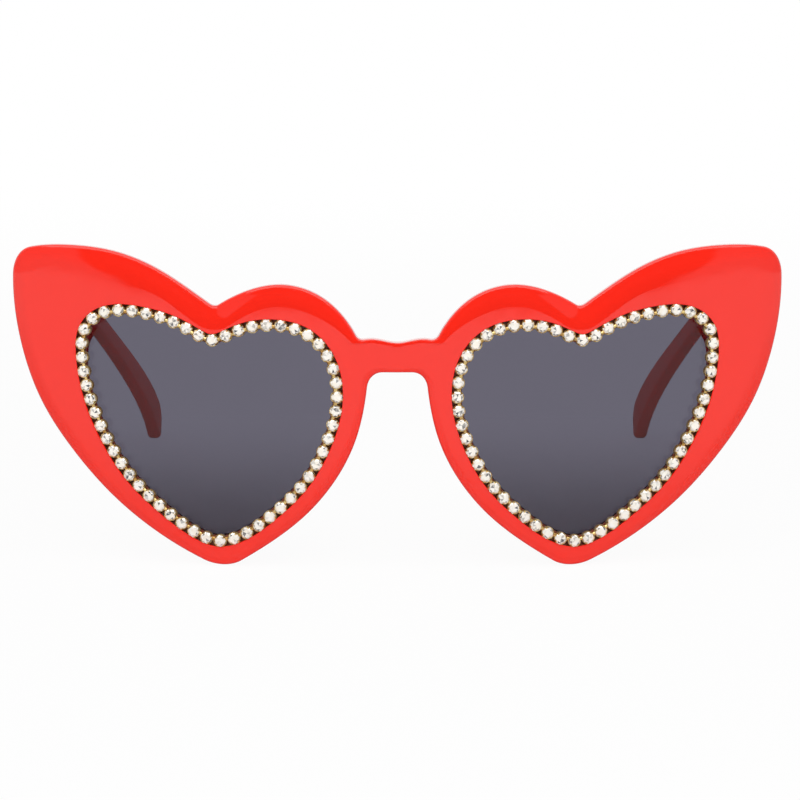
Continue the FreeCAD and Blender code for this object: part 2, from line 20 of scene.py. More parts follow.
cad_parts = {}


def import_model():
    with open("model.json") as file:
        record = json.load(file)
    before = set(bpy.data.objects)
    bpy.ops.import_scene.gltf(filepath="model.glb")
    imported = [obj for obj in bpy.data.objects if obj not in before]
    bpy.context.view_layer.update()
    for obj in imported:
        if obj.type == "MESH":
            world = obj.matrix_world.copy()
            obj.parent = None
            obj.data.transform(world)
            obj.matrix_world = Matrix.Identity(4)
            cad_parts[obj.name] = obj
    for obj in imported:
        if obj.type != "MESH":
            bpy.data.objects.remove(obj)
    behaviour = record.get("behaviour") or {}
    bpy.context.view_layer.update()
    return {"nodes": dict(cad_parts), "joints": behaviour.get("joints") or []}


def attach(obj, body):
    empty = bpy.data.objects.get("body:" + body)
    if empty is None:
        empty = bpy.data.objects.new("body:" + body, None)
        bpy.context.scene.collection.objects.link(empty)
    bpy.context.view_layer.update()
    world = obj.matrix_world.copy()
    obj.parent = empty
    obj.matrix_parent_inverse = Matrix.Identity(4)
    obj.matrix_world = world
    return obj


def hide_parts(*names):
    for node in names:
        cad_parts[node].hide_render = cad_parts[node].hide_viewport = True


LOG = logging.getLogger("heart_sunglasses")
MM = 0.001
WELD = 1e-4 * MM
SPAN_SAMPLES = 48
# The stones' facet attribute, which picks each facet's painted reflection.
FACET_REFLECTIONS = "facet_tone"
WHITE = (1.0, 1.0, 1.0, 1.0)


class Side(Enum):
    """The wearer's two sides, by the sign of X."""

    LEFT = 1
    RIGHT = -1

    @property
    def suffix(self) -> str:
        """The ending of the names of this side's pieces."""
        return self.name.lower()


class Slot(Enum):
    """The record's material slots for the pieces that are modelled here."""

    PLASTIC = "red_frame_plastic"
    LENS = "grey_lens"
    BRASS = "gold_brass"
    CRYSTAL = "clear_crystal"


class Way(Enum):
    """Which way a hinge leaf reaches from the butt of the hinge."""

    FORWARDS = -1
    BACKWARDS = 1


def flowing(points: Sequence, closed: bool = False, ways: Sequence | None = None) -> np.ndarray:
    """Draw the smooth curve through some points, as a dense line.

    Args:
        points: the points, in order, in a plane.
        closed: whether the curve runs back to its first point.
        ways: the directions at the first and last points of an open curve, where they are known.

    Returns:
        The curve's points, SPAN_SAMPLES for each span, and the last point.
    """
    knots = np.asarray(points, dtype=float)
    if closed:
        knots = np.vstack([knots, knots[:1]])
    gaps = np.linalg.norm(np.diff(knots, axis=0), axis=1)
    slopes = np.diff(knots, axis=0) / gaps[:, None]
    spans = len(gaps)
    size = spans if closed else spans + 1
    system = np.zeros((size, size))
    pull = np.zeros((size, knots.shape[1]))
    for i in range(0 if closed else 1, spans):
        system[i, i - 1] += gaps[i - 1]
        system[i, i] += 2 * (gaps[i - 1] + gaps[i])
        system[i, (i + 1) % size] += gaps[i]
        pull[i] = 6 * (slopes[i] - slopes[i - 1])
    if not closed:
        times = np.concatenate([[0.0], np.cumsum(gaps)])
        first = np.polyfit(times[:4], knots[:4], 3)[-2]
        last = -np.polyfit(times[-1] - times[:-5:-1], knots[:-5:-1], 3)[-2]
        if ways is not None:
            first, last = (np.asarray(way) / np.linalg.norm(way) * np.linalg.norm(end)
                           for way, end in zip(ways, (first, last)))
        system[0, :2] = 2 * gaps[0], gaps[0]
        pull[0] = 6 * (slopes[0] - first)
        system[-1, -2:] = gaps[-1], 2 * gaps[-1]
        pull[-1] = 6 * (last - slopes[-1])
    bends = np.linalg.solve(system, pull)
    if closed:
        bends = np.vstack([bends, bends[:1]])
    line = []
    for i, gap in enumerate(gaps):
        after = np.linspace(0, gap, SPAN_SAMPLES, endpoint=False)[:, None]
        before = gap - after
        line.append((bends[i] * before ** 3 + bends[i + 1] * after ** 3) / (6 * gap)
                    + (knots[i] / gap - bends[i] * gap / 6) * before
                    + (knots[i + 1] / gap - bends[i + 1] * gap / 6) * after)
    return np.vstack(line + [knots[-1:]])


def lengths(line: np.ndarray) -> np.ndarray:
    """How far along a line each of its points lies."""
    return np.concatenate([[0.0], np.cumsum(np.linalg.norm(np.diff(line, axis=0), axis=1))])


def taken(line: np.ndarray, marks: np.ndarray, places: np.ndarray) -> np.ndarray:
    """Read a line at some places.

    Args:
        line: the values along the line, a row each.
        marks: where the rows stand, in rising order.
        places: where to read.

    Returns:
        A row for each place.
    """
    return np.stack([np.interp(places, marks, column) for column in line.T], axis=1)


def headings(line: np.ndarray) -> np.ndarray:
    """The unit directions of a dense line at its points."""
    ways = np.gradient(line, axis=0)
    return ways / np.linalg.norm(ways, axis=1)[:, None]


def rounded_corner(before: np.ndarray, after: np.ndarray, fullness: float) -> np.ndarray:
    """Round the corner between the end of one line and the start of the next.

    Args:
        before: the line that comes in.
        after: the line that goes out.
        fullness: how far towards the lines' crossing the curve is pulled, as a share.

    Returns:
        A dense line from the end of the one to the start of the other.
    """
    leaving = (before[-1] - before[-2]) / np.linalg.norm(before[-1] - before[-2])
    arriving = (after[1] - after[0]) / np.linalg.norm(after[1] - after[0])
    ahead, back = np.linalg.solve(np.stack([leaving, arriving], axis=1), after[0] - before[-1])
    poles = (before[-1], before[-1] + leaving * ahead * fullness,
             after[0] - arriving * back * fullness, after[0])
    share = np.linspace(0, 1, SPAN_SAMPLES)[:, None]
    weights = ((1 - share) ** 3, 3 * share * (1 - share) ** 2, 3 * share ** 2 * (1 - share), share ** 3)
    return sum(weight * pole for weight, pole in zip(weights, poles))


@dataclass(frozen=True)
class FrontLines:
    """The lines and depths that the front is drawn on, in millimetres, as in the part's source."""

    stone_line_width: float = 49.6
    stone_line_height: float = 44.4
    stone_line_gap: float = 23.2
    nose_rim: float = 5.8
    point_rim: float = 4.95
    wing_reach: float = 13.8
    wing_rise: float = 12.6
    bridge_height: float = 6.3
    bridge_dip: float = 0.6
    bridge_corner: float = 1.7
    nose_corner: float = 3.0
    bridge_top_level: float = 0.885
    nose_edge: float = -0.995
    nose_corner_most: float = 0.6
    corner_fullness: float = 0.6
    wrap_radius: float = 260.0
    thickness: float = 4.6
    channel_depth: float = 1.2
    end_inset: float = 2.0
    end_reach: float = 5.0
    stone_line_shares: tuple = (
        (0.486, 0.880), (0.550, 0.907), (0.647, 0.961), (0.760, 0.995), (0.857, 1.016), (0.938, 0.981),
        (0.992, 0.914), (1.009, 0.819), (0.976, 0.634), (0.911, 0.452), (0.819, 0.287), (0.653, 0.110),
        (0.540, 0.026), (0.464, 0.000), (0.391, 0.017), (0.258, 0.114), (0.133, 0.253), (0.046, 0.422),
        (0.000, 0.632), (0.034, 0.810), (0.117, 0.908), (0.250, 0.947), (0.371, 0.928), (0.435, 0.898))
    bridge_crest: tuple = ((-1, 0), (-0.4, 0.35), (0, 1), (0.4, 0.35), (1, 0))
    lobe_top: tuple = (
        (-0.621, 0.904), (-0.207, 0.985), (0.069, 1.262), (0.218, 1.426), (0.347, 1.333), (0.462, 1.110))
    wing_top: tuple = (
        (0.496, 1.120), (0.583, 1.361), (0.722, 1.694), (0.887, 1.925), (1.196, 2.000), (1.587, 1.988),
        (1.745, 1.962))
    wing_side: tuple = (
        (2.000, 1.528), (1.982, 1.052), (1.877, 0.831), (1.601, 0.596), (1.159, 0.386), (0.879, 0.182),
        (0.724, 0.043), (0.524, -0.775))
    nose_side: tuple = (
        (0.375, -0.780), (0.260, -0.051), (0.119, 0.120), (0.000, 0.282), (-0.603, 0.440), (-0.880, 0.575))

    @property
    def wing_x(self) -> float:
        """The wing's outer edge."""
        return self.stone_line_gap / 2 + self.stone_line_width + self.wing_reach

    @property
    def wing_z(self) -> float:
        """The wing's top."""
        return self.point_rim + self.stone_line_height + self.wing_rise

    @property
    def side_outer(self) -> float:
        """The outer face of the end-piece and of the temple."""
        return self.wing_x - self.end_inset

    @property
    def butt_y(self) -> float:
        """The plane where the end-pieces meet the temples."""
        return float(self.wrap(self.side_outer, self.thickness)) + self.end_reach

    def wrap(self, x: Any, depth: Any = 0.0) -> Any:
        """How far back the front lies at x, at a depth below its front surface."""
        return self.wrap_radius - np.sqrt((self.wrap_radius - depth) ** 2 - np.square(x))

    def bent(self, flat: np.ndarray, depth: Any) -> np.ndarray:
        """Bend points of the front's plane round the face, at a depth below the front surface."""
        return np.column_stack([flat[:, 0], self.wrap(flat[:, 0], depth), flat[:, 1]])

    def point(self, across: float, up: float) -> np.ndarray:
        """Turn shares of the left-hand stone line's box into a point of the front's plane.

        Args:
            across: from the nose side of the box, and past it as a share of the rim there.
            up: from the bottom of the box, and past it as a share of the rim there.

        Returns:
            The point's x and z.
        """
        x = self.stone_line_gap / 2 + min(max(across, 0), 1) * self.stone_line_width
        x += min(across, 0) * self.nose_rim + max(across - 1, 0) * self.wing_reach
        z = self.point_rim + min(max(up, 0), 1) * self.stone_line_height
        z += min(up, 0) * self.point_rim + max(up - 1, 0) * self.wing_rise
        return np.array([x, z])

    def points(self, shares: Sequence) -> list:
        """Turn a list of shares into points."""
        return [self.point(across, up) for across, up in shares]

    def stone_line(self) -> np.ndarray:
        """The closed line that the left-hand stones follow, clockwise from the heart's notch."""
        return flowing(self.points(self.stone_line_shares), closed=True)

    def knot_share(self, knot: float) -> float:
        """How far round the stone line one of its drawn points lies, as a share of its length."""
        marks = lengths(self.stone_line())
        return float(np.interp(knot * SPAN_SAMPLES, np.arange(len(marks)), marks) / marks[-1])

    def heart(self, shares: np.ndarray, distance: float) -> np.ndarray:
        """Points of the stone line moved outwards.

        Args:
            shares: how far round the stone line each point lies, as a share of its length.
            distance: how far outwards they are moved.

        Returns:
            The points, an x and z each.
        """
        line = self.stone_line()
        ways = headings(np.vstack([line[-2], line, line[1]]))[1:-1]
        marks = lengths(line)
        places = np.mod(shares, 1.0) * marks[-1]
        way = taken(ways, marks, places)
        way /= np.linalg.norm(way, axis=1)[:, None]
        return taken(line, marks, places) + np.stack([-way[:, 1], way[:, 0]], axis=1) * distance

    def outer_line(self) -> tuple[np.ndarray, list]:
        """The left half of the front's outer edge, from the middle of the bridge round to it again.

        Returns:
            The dense line, and how far along it the middles of its five corners lie.
        """
        level = self.point(0, self.bridge_top_level)[1]
        under = level - self.bridge_height
        edge = self.point(self.nose_edge, 0)[0]
        half_top = self.point(self.lobe_top[0][0], 0)[0] - self.bridge_corner
        crest = flowing([(half_top * share, level - self.bridge_dip * dip)
                         for share, dip in self.bridge_crest])
        crest = crest[len(crest) // 2:]
        nose = flowing(self.points(self.nose_side) + [np.array([edge, under - self.nose_corner])])
        half_under = edge - min(self.nose_corner, self.nose_corner_most * edge)
        floor = np.stack([np.linspace(half_under, 0, SPAN_SAMPLES), np.full(SPAN_SAMPLES, under)], axis=1)
        wing = [flowing(self.points(shares)) for shares in (self.lobe_top, self.wing_top, self.wing_side)]
        runs = [crest, *wing, nose, floor]
        line, corners = crest, []
        for before, after in zip(runs, runs[1:]):
            bend = rounded_corner(before, after, self.corner_fullness)
            corners.append(lengths(line)[-1] + lengths(bend)[-1] / 2)
            line = np.vstack([line, bend[1:-1], after])
        return line, corners


@dataclass(frozen=True)
class Stance:
    """How the glasses stand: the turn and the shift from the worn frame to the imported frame."""

    matrix: Matrix

    @classmethod
    def from_joint(cls, joint: dict, worn_axis_point: Vector) -> "Stance":
        """Read the stance off a hinge.

        Args:
            joint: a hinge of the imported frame, whose axis is upright as worn.
            worn_axis_point: the point of that axis, as worn, in metres.

        Returns:
            The stance.
        """
        axis = Vector(joint["axis"])
        if axis.z < 0:
            axis.negate()
        turn = Matrix.Rotation(-math.atan2(axis.y, axis.z), 4, "X")
        shift = Vector(joint["pos_m"]) - turn @ worn_axis_point
        return cls(Matrix.Translation(shift) @ turn)

    def stand(self, piece: bpy.types.Object) -> None:
        """Stand a finished piece up, with its place in its mesh."""
        select_only(piece)
        piece.matrix_world = self.matrix @ piece.matrix_world
        bpy.ops.object.transform_apply(location=True, rotation=True, scale=True)


def select_only(*pieces: bpy.types.Object) -> None:
    """Select some objects and nothing else, and make the first one active."""
    if bpy.context.mode != "OBJECT":
        bpy.ops.object.mode_set(mode="OBJECT")
    bpy.ops.object.select_all(action="DESELECT")
    for piece in pieces:
        piece.select_set(True)
    if pieces:
        bpy.context.view_layer.objects.active = pieces[0]


def pick_faces(piece: bpy.types.Object, test: Callable[[bmesh.types.BMFace], bool]) -> None:
    """Open the active piece in edit mode, with some of its faces selected.

    Args:
        piece: the piece, which is active.
        test: says whether a face is selected.
    """
    bpy.ops.object.mode_set(mode="EDIT")
    bpy.ops.mesh.select_all(action="DESELECT")
    for face in bmesh.from_edit_mesh(piece.data).faces:
        if test(face):
            face.select_set(True)
    bmesh.update_edit_mesh(piece.data)


def turn_outwards() -> None:
    """Point all the normals of the piece in edit mode outwards."""
    bpy.ops.mesh.select_all(action="SELECT")
    bpy.ops.mesh.normals_make_consistent(inside=False)


def swept(name: str, rings: Sequence[np.ndarray], joined: bool = False) -> bpy.types.Object:
    """Model a skin by extruding a ring of edges from place to place.

    Args:
        name: the new object's name.
        rings: the ring's places, each a row of x, y and z in millimetres for every point.
        joined: whether the skin runs on from the last ring to the first; open ends are filled.

    Returns:
        The object, with its normals outwards.
    """
    count = len(rings[0])
    select_only()
    bpy.ops.mesh.primitive_circle_add(vertices=count, radius=MM)
    piece = bpy.context.object
    piece.name = piece.data.name = name
    piece.data.vertices.foreach_set("co", (np.asarray(rings[0]) * MM).ravel())
    bpy.ops.object.mode_set(mode="EDIT")
    mesh = bmesh.from_edit_mesh(piece.data)
    turn = mesh.verts.layers.int.new("turn")
    for i, vert in enumerate(mesh.verts):
        vert[turn] = i
    bpy.ops.mesh.select_all(action="SELECT")
    for ring in list(rings[1:]) + ([rings[0]] if joined else []):
        bpy.ops.mesh.extrude_edges_indiv()
        mesh = bmesh.from_edit_mesh(piece.data)
        mesh.verts.ensure_lookup_table()
        turn = mesh.verts.layers.int["turn"]
        spots = np.asarray(ring) * MM
        for vert in mesh.verts[-count:]:
            vert.co = spots[vert[turn]]
        bmesh.update_edit_mesh(piece.data)
    bpy.ops.mesh.select_all(action="SELECT")
    bpy.ops.mesh.remove_doubles(threshold=WELD)
    if not joined:
        bpy.ops.mesh.select_all(action="SELECT")
        bpy.ops.mesh.fill_holes(sides=0)
    turn_outwards()
    bpy.ops.object.mode_set(mode="OBJECT")
    piece.data.attributes.remove(piece.data.attributes["turn"])
    return piece


def smoothed(piece: bpy.types.Object, angle: float) -> None:
    """Shade a piece smooth, apart from edges sharper than an angle in degrees."""
    select_only(piece)
    bpy.ops.object.shade_smooth_by_angle(angle=math.radians(angle))


def combined(piece: bpy.types.Object, others: Sequence[bpy.types.Object], operation: str) -> None:
    """Join others to a piece, or cut them out of it, and remove them.

    Args:
        piece: the piece that is kept.
        others: closed shapes.
        operation: UNION or DIFFERENCE, as the Boolean modifier names them.
    """
    for other in others:
        select_only(piece)
        modifier = piece.modifiers.new("combine", "BOOLEAN")
        modifier.operation = operation
        modifier.solver = "EXACT"
        modifier.object = other
        bpy.ops.object.modifier_apply(modifier=modifier.name)
        bpy.data.objects.remove(other)


def other_side(piece: bpy.types.Object) -> bpy.types.Object:
    """Copy a left-hand piece to the wearer's right.

    Args:
        piece: the piece, as worn, with its side in its name.

    Returns:
        The copy, with its own mesh and its normals outwards.
    """
    select_only(piece)
    bpy.ops.object.duplicate()
    copy = bpy.context.object
    copy.name = copy.data.name = piece.name.replace(Side.LEFT.suffix, Side.RIGHT.suffix)
    copy.scale.x = -1
    bpy.ops.object.transform_apply(location=True, rotation=True, scale=True)
    bpy.ops.object.mode_set(mode="EDIT")
    turn_outwards()
    bpy.ops.object.mode_set(mode="OBJECT")
    return copy


def linear(code: str) -> tuple[float, float, float, float]:
    """Turn an sRGB hex colour into linear light."""
    shares = [int(code[i:i + 2], 16) / 255 for i in (1, 3, 5)]
    red, green, blue = (share / 12.92 if share <= 0.04045 else ((share + 0.055) / 1.055) ** 2.4
                        for share in shares)
    return red, green, blue, 1.0


def per_metre(millimetres: float) -> float:
    """The scale of a pattern whose features are some millimetres across."""
    return 1 / (millimetres * MM)


def add_node(tree: bpy.types.NodeTree, kind: str, settings: dict | None = None,
             links: dict | None = None) -> bpy.types.Node:
    """Add a node to a material.

    Args:
        tree: the material's node tree.
        kind: the node's type.
        settings: values for its properties and its sockets, by name, or by number for a socket.
        links: the sockets that feed its sockets, by name or number.

    Returns:
        The node.
    """
    node = tree.nodes.new(kind)
    for name, value in (settings or {}).items():
        if isinstance(name, str) and name not in node.inputs:
            setattr(node, name, value)
        else:
            node.inputs[name].default_value = value
    for name, source in (links or {}).items():
        tree.links.new(source, node.inputs[name])
    return node


def blank_material(name: str) -> tuple[bpy.types.Material, bpy.types.NodeTree]:
    """A new material and its empty node tree."""
    material = bpy.data.materials.new(name)
    material.use_nodes = True
    material.node_tree.nodes.clear()
    return material, material.node_tree


def two_toned(name: str, tones: Sequence[str], size: float, detail: float) -> tuple:
    """Start a material whose colour drifts between two tones.

    Args:
        name: the material's name.
        tones: the two colours, as sRGB hex values.
        size: how large the patches of the drift are, in millimetres.
        detail: how finely they break up.

    Returns:
        The material, its node tree, the place socket, the drift's node and the colour's node.
    """
    material, tree = blank_material(name)
    place = add_node(tree, "ShaderNodeTexCoord").outputs["Object"]
    drift = add_node(tree, "ShaderNodeTexNoise", {"Scale": per_metre(size), "Detail": detail},
                     {"Vector": place})
    colour = add_node(tree, "ShaderNodeMix", {"data_type": "RGBA", 6: linear(tones[0]), 7: linear(tones[1])},
                      {0: drift.outputs["Fac"]})
    return material, tree, place, drift, colour


def shaded(tree: bpy.types.NodeTree, settings: dict, links: dict) -> None:
    """Finish a material with its shader, given the shader's settings and links."""
    shader = add_node(tree, "ShaderNodeBsdfPrincipled", settings, links)
    add_node(tree, "ShaderNodeOutputMaterial", links={"Surface": shader.outputs["BSDF"]})


@dataclass(frozen=True)
class MouldedRedPlastic:
    """Polycarbonate, injection moulded in a polished tool: one even red under a hard, wet-looking gloss.

    The gloss mirrors the table and the lamps; the melt leaves only a faint drift of colour, the tool a
    slow ripple that bends the mirrored edges a little, and handling a soft haze in places.
    """

    name: str = "moulded_red_polycarbonate"
    reds: tuple = ("#FB2612", "#F62210")
    drift_size: float = 22.0
    haze_size: float = 3.0
    haze_from: tuple = (0.35, 0.7)
    haze: tuple = (0.02, 0.05)
    ripple_size: float = 7.0
    ripple_height: float = 0.003
    ior: float = 1.55

    def material(self) -> bpy.types.Material:
        """Make the material."""
        material, tree, place, _, colour = two_toned(self.name, self.reds, self.drift_size, detail=2.0)
        hand = add_node(tree, "ShaderNodeTexNoise", {"Scale": per_metre(self.haze_size), "Detail": 4.0},
                        {"Vector": place})
        haze = add_node(tree, "ShaderNodeMapRange",
                        {"From Min": self.haze_from[0], "From Max": self.haze_from[1],
                         "To Min": self.haze[0], "To Max": self.haze[1]}, {"Value": hand.outputs["Fac"]})
        ripple = add_node(tree, "ShaderNodeTexNoise", {"Scale": per_metre(self.ripple_size), "Detail": 0.0},
                          {"Vector": place})
        bump = add_node(tree, "ShaderNodeBump", {"Strength": 1.0, "Distance": self.ripple_height * MM},
                        {"Height": ripple.outputs["Fac"]})
        shaded(tree, {"IOR": self.ior},
               {"Base Color": colour.outputs[2], "Roughness": haze.outputs["Result"],
                "Normal": bump.outputs["Normal"]})
        return material


@dataclass(frozen=True)
class SmokeGreyLens:
    """Acrylic sheet, dyed smoke grey and polished: it darkens what is behind it and mirrors little.

    The dye leans a touch to violet; wiping leaves a breath of haze on the polish.
    """

    greys: tuple = ("#63606E", "#615E6C")
    smear_size: float = 9.0
    haze_from: tuple = (0.4, 0.8)
    haze: tuple = (0.0, 0.02)
    ior: float = 1.33

    def material(self) -> bpy.types.Material:
        """Make the material."""
        material, tree, _, smear, colour = two_toned("dyed_smoke_acrylic", self.greys, self.smear_size,
                                                     detail=3.0)
        haze = add_node(tree, "ShaderNodeMapRange",
                        {"From Min": self.haze_from[0], "From Max": self.haze_from[1],
                         "To Min": self.haze[0], "To Max": self.haze[1]}, {"Value": smear.outputs["Fac"]})
        shaded(tree, {"IOR": self.ior, "Transmission Weight": 1.0},
               {"Base Color": colour.outputs[2], "Roughness": haze.outputs["Result"]})
        return material


@dataclass(frozen=True)
class BrownedCement:
    """A dark brown, half-glossy film painted over the stone channel's faces round the cups: painted shade
    that stands in for the shade in the channel's gaps.
    """

    # The two browns that the painted shade drifts between.
    browns: tuple = ("#562A15", "#8C4226")
    pool_size: float = 1.6
    gloss: float = 0.35

    def material(self) -> bpy.types.Material:
        """Make the material."""
        material, tree, _, _, colour = two_toned("browned_epoxy_cement", self.browns, self.pool_size,
                                                 detail=3.0)
        shaded(tree, {"Roughness": self.gloss}, {"Base Color": colour.outputs[2]})
        return material


@dataclass(frozen=True)
class GoldPlatedBrass:
    """Brass strip, pressed into cups and flash-plated: a warm yellow mirror, softly worn.

    Tumbling before plating leaves it a little uneven, so its gloss breaks up from cup to cup.
    """

    golds: tuple = ("#FFE49C", "#CF9A4C")
    wear_size: float = 0.9
    worn_from: tuple = (0.38, 0.66)
    gloss: tuple = (0.24, 0.42)

    def material(self) -> bpy.types.Material:
        """Make the material."""
        material, tree, _, wear, colour = two_toned("gold_plated_brass", self.golds, self.wear_size,
                                                    detail=3.0)
        worn = add_node(tree, "ShaderNodeMapRange",
                        {"From Min": self.worn_from[0], "From Max": self.worn_from[1]},
                        {"Value": wear.outputs["Fac"]})
        tree.links.new(worn.outputs["Result"], colour.inputs[0])
        gloss = add_node(tree, "ShaderNodeMapRange", {"To Min": self.gloss[0], "To Max": self.gloss[1]},
                         {"Value": worn.outputs["Result"]})
        shaded(tree, {"Metallic": 1.0},
               {"Base Color": colour.outputs[2], "Roughness": gloss.outputs["Result"]})
        return material


@dataclass(frozen=True)
class FoiledCrystal:
    """Lead glass, machine cut and silvered on the back, with its reflections painted into its colour.

    Each facet is painted white, as a painted reflection of the lamps, or grey, as a painted reflection of
    the dim side of the room, by its value in the stones' facet attribute; a faint warm tint drifts across
    the whites as painted fire.
    """

    # The painted reflections: the whites, the grey, and the range of facet values that turns a facet grey.
    whites: tuple = ("#FFFFFF", "#FBEFD8")
    dark: str = "#4A494E"
    fire_size: float = 0.9
    dark_from: tuple = (0.74, 0.98)
    silvering: float = 0.24
    polish: float = 0.06
    glaze: float = 0.02
    ior: float = 1.56

    def material(self) -> bpy.types.Material:
        """Make the material."""
        material, tree, _, _, painted_white = two_toned("foiled_cut_crystal", self.whites, self.fire_size,
                                                 detail=1.0)
        # Each facet's value in the facet attribute picks its painted reflection.
        painted_reflection = add_node(tree, "ShaderNodeAttribute", {"attribute_name": FACET_REFLECTIONS})
        turned = add_node(tree, "ShaderNodeMapRange",
                          {"From Min": self.dark_from[0], "From Max": self.dark_from[1]},
                          {"Value": painted_reflection.outputs["Fac"]})
        colour = add_node(tree, "ShaderNodeMix", {"data_type": "RGBA", 7: linear(self.dark)},
                          {0: turned.outputs["Result"], 6: painted_white.outputs[2]})
        shaded(tree, {"Metallic": self.silvering, "Roughness": self.polish, "IOR": self.ior,
                      "Coat Weight": 1.0, "Coat Roughness": self.glaze}, {"Base Color": colour.outputs[2]})
        return material


@dataclass(frozen=True)
class NickelledSteel:
    """Steel strip, stamped, tumbled and nickelled: a pale grey metal with a fine even drag of scratches."""

    greys: tuple = ("#C3C4C6", "#A6A7AA")
    scratch_size: float = 0.35
    scratch_stretch: tuple = (1.0, 1.0, 0.1)
    gloss: tuple = (0.22, 0.4)

    def material(self) -> bpy.types.Material:
        """Make the material."""
        material, tree, place, scratch, colour = two_toned("nickelled_steel", self.greys, self.scratch_size,
                                                           detail=3.0)
        drag = add_node(tree, "ShaderNodeMapping", {"Scale": self.scratch_stretch}, {"Vector": place})
        tree.links.new(drag.outputs["Vector"], scratch.inputs["Vector"])
        gloss = add_node(tree, "ShaderNodeMapRange", {"To Min": self.gloss[0], "To Max": self.gloss[1]},
                         {"Value": scratch.outputs["Fac"]})
        shaded(tree, {"Metallic": 1.0},
               {"Base Color": colour.outputs[2], "Roughness": gloss.outputs["Result"]})
        return material


@dataclass(frozen=True)
class WhiteTable:
    """A matt white laminate table under studio light, which reads as plain white away from the object.

    Each lift gives where the white starts, where it is full, and its least share: by the distance from the
    object for what the camera and the gloss see, and by the distance back for what the lenses show.
    """

    white: str = "#E6E6E6"
    seen_lift: tuple = (0.10, 0.6, 0.95)
    mirrored_lift: tuple = (0.10, 0.6, 0.0)
    lens_lift: tuple = (-0.03, 0.09, 0.0)

    def material(self) -> bpy.types.Material:
        """Make the material."""
        material, tree = blank_material("white_laminate")
        place = add_node(tree, "ShaderNodeTexCoord").outputs["Object"]
        away = add_node(tree, "ShaderNodeVectorMath", {"operation": "LENGTH"}, {0: place}).outputs["Value"]
        back = add_node(tree, "ShaderNodeSeparateXYZ", links={0: place}).outputs["Y"]
        ray = add_node(tree, "ShaderNodeLightPath")
        shares = []
        for seen, reach, (near, far, least) in (("Is Camera Ray", away, self.seen_lift),
                                                ("Is Glossy Ray", away, self.mirrored_lift),
                                                ("Is Transmission Ray", back, self.lens_lift)):
            lift = add_node(tree, "ShaderNodeMapRange",
                            {"interpolation_type": "SMOOTHSTEP", "From Min": near, "From Max": far,
                             "To Min": least, "To Max": 1.0}, {"Value": reach})
            shares.append(add_node(tree, "ShaderNodeMath", {"operation": "MULTIPLY"},
                                   {0: ray.outputs[seen], 1: lift.outputs["Result"]}).outputs["Value"])
        share = shares[0]
        for other in shares[1:]:
            larger = add_node(tree, "ShaderNodeMath", {"operation": "MAXIMUM"}, {0: share, 1: other})
            share = larger.outputs["Value"]
        matt = add_node(tree, "ShaderNodeBsdfDiffuse", {"Color": linear(self.white)})
        glow = add_node(tree, "ShaderNodeEmission", {"Color": WHITE, "Strength": 1.0})
        mixed = add_node(tree, "ShaderNodeMixShader",
                         links={0: share, 1: matt.outputs["BSDF"], 2: glow.outputs["Emission"]})
        add_node(tree, "ShaderNodeOutputMaterial", links={"Surface": mixed.outputs["Shader"]})
        return material


def dressed(piece: bpy.types.Object, *materials: bpy.types.Material) -> None:
    """Give a piece its materials, the first one all over."""
    piece.data.materials.clear()
    for material in materials:
        piece.data.materials.append(material)


def handed_in(piece: bpy.types.Object, stance: Stance, body: str, slot: Slot, *nodes: str) -> None:
    """Stand a finished piece up, hang it on its body and hide the CAD nodes that it stands for.

    Args:
        piece: the piece, as worn.
        stance: how the glasses stand.
        body: the body that it rides on.
        slot: the record's material slot; not used.
        nodes: the CAD nodes that it stands for.
    """
    stance.stand(piece)
    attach(piece, body)
    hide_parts(*nodes)
    LOG.info("%s on %s: %d faces", piece.name, body, len(piece.data.polygons))


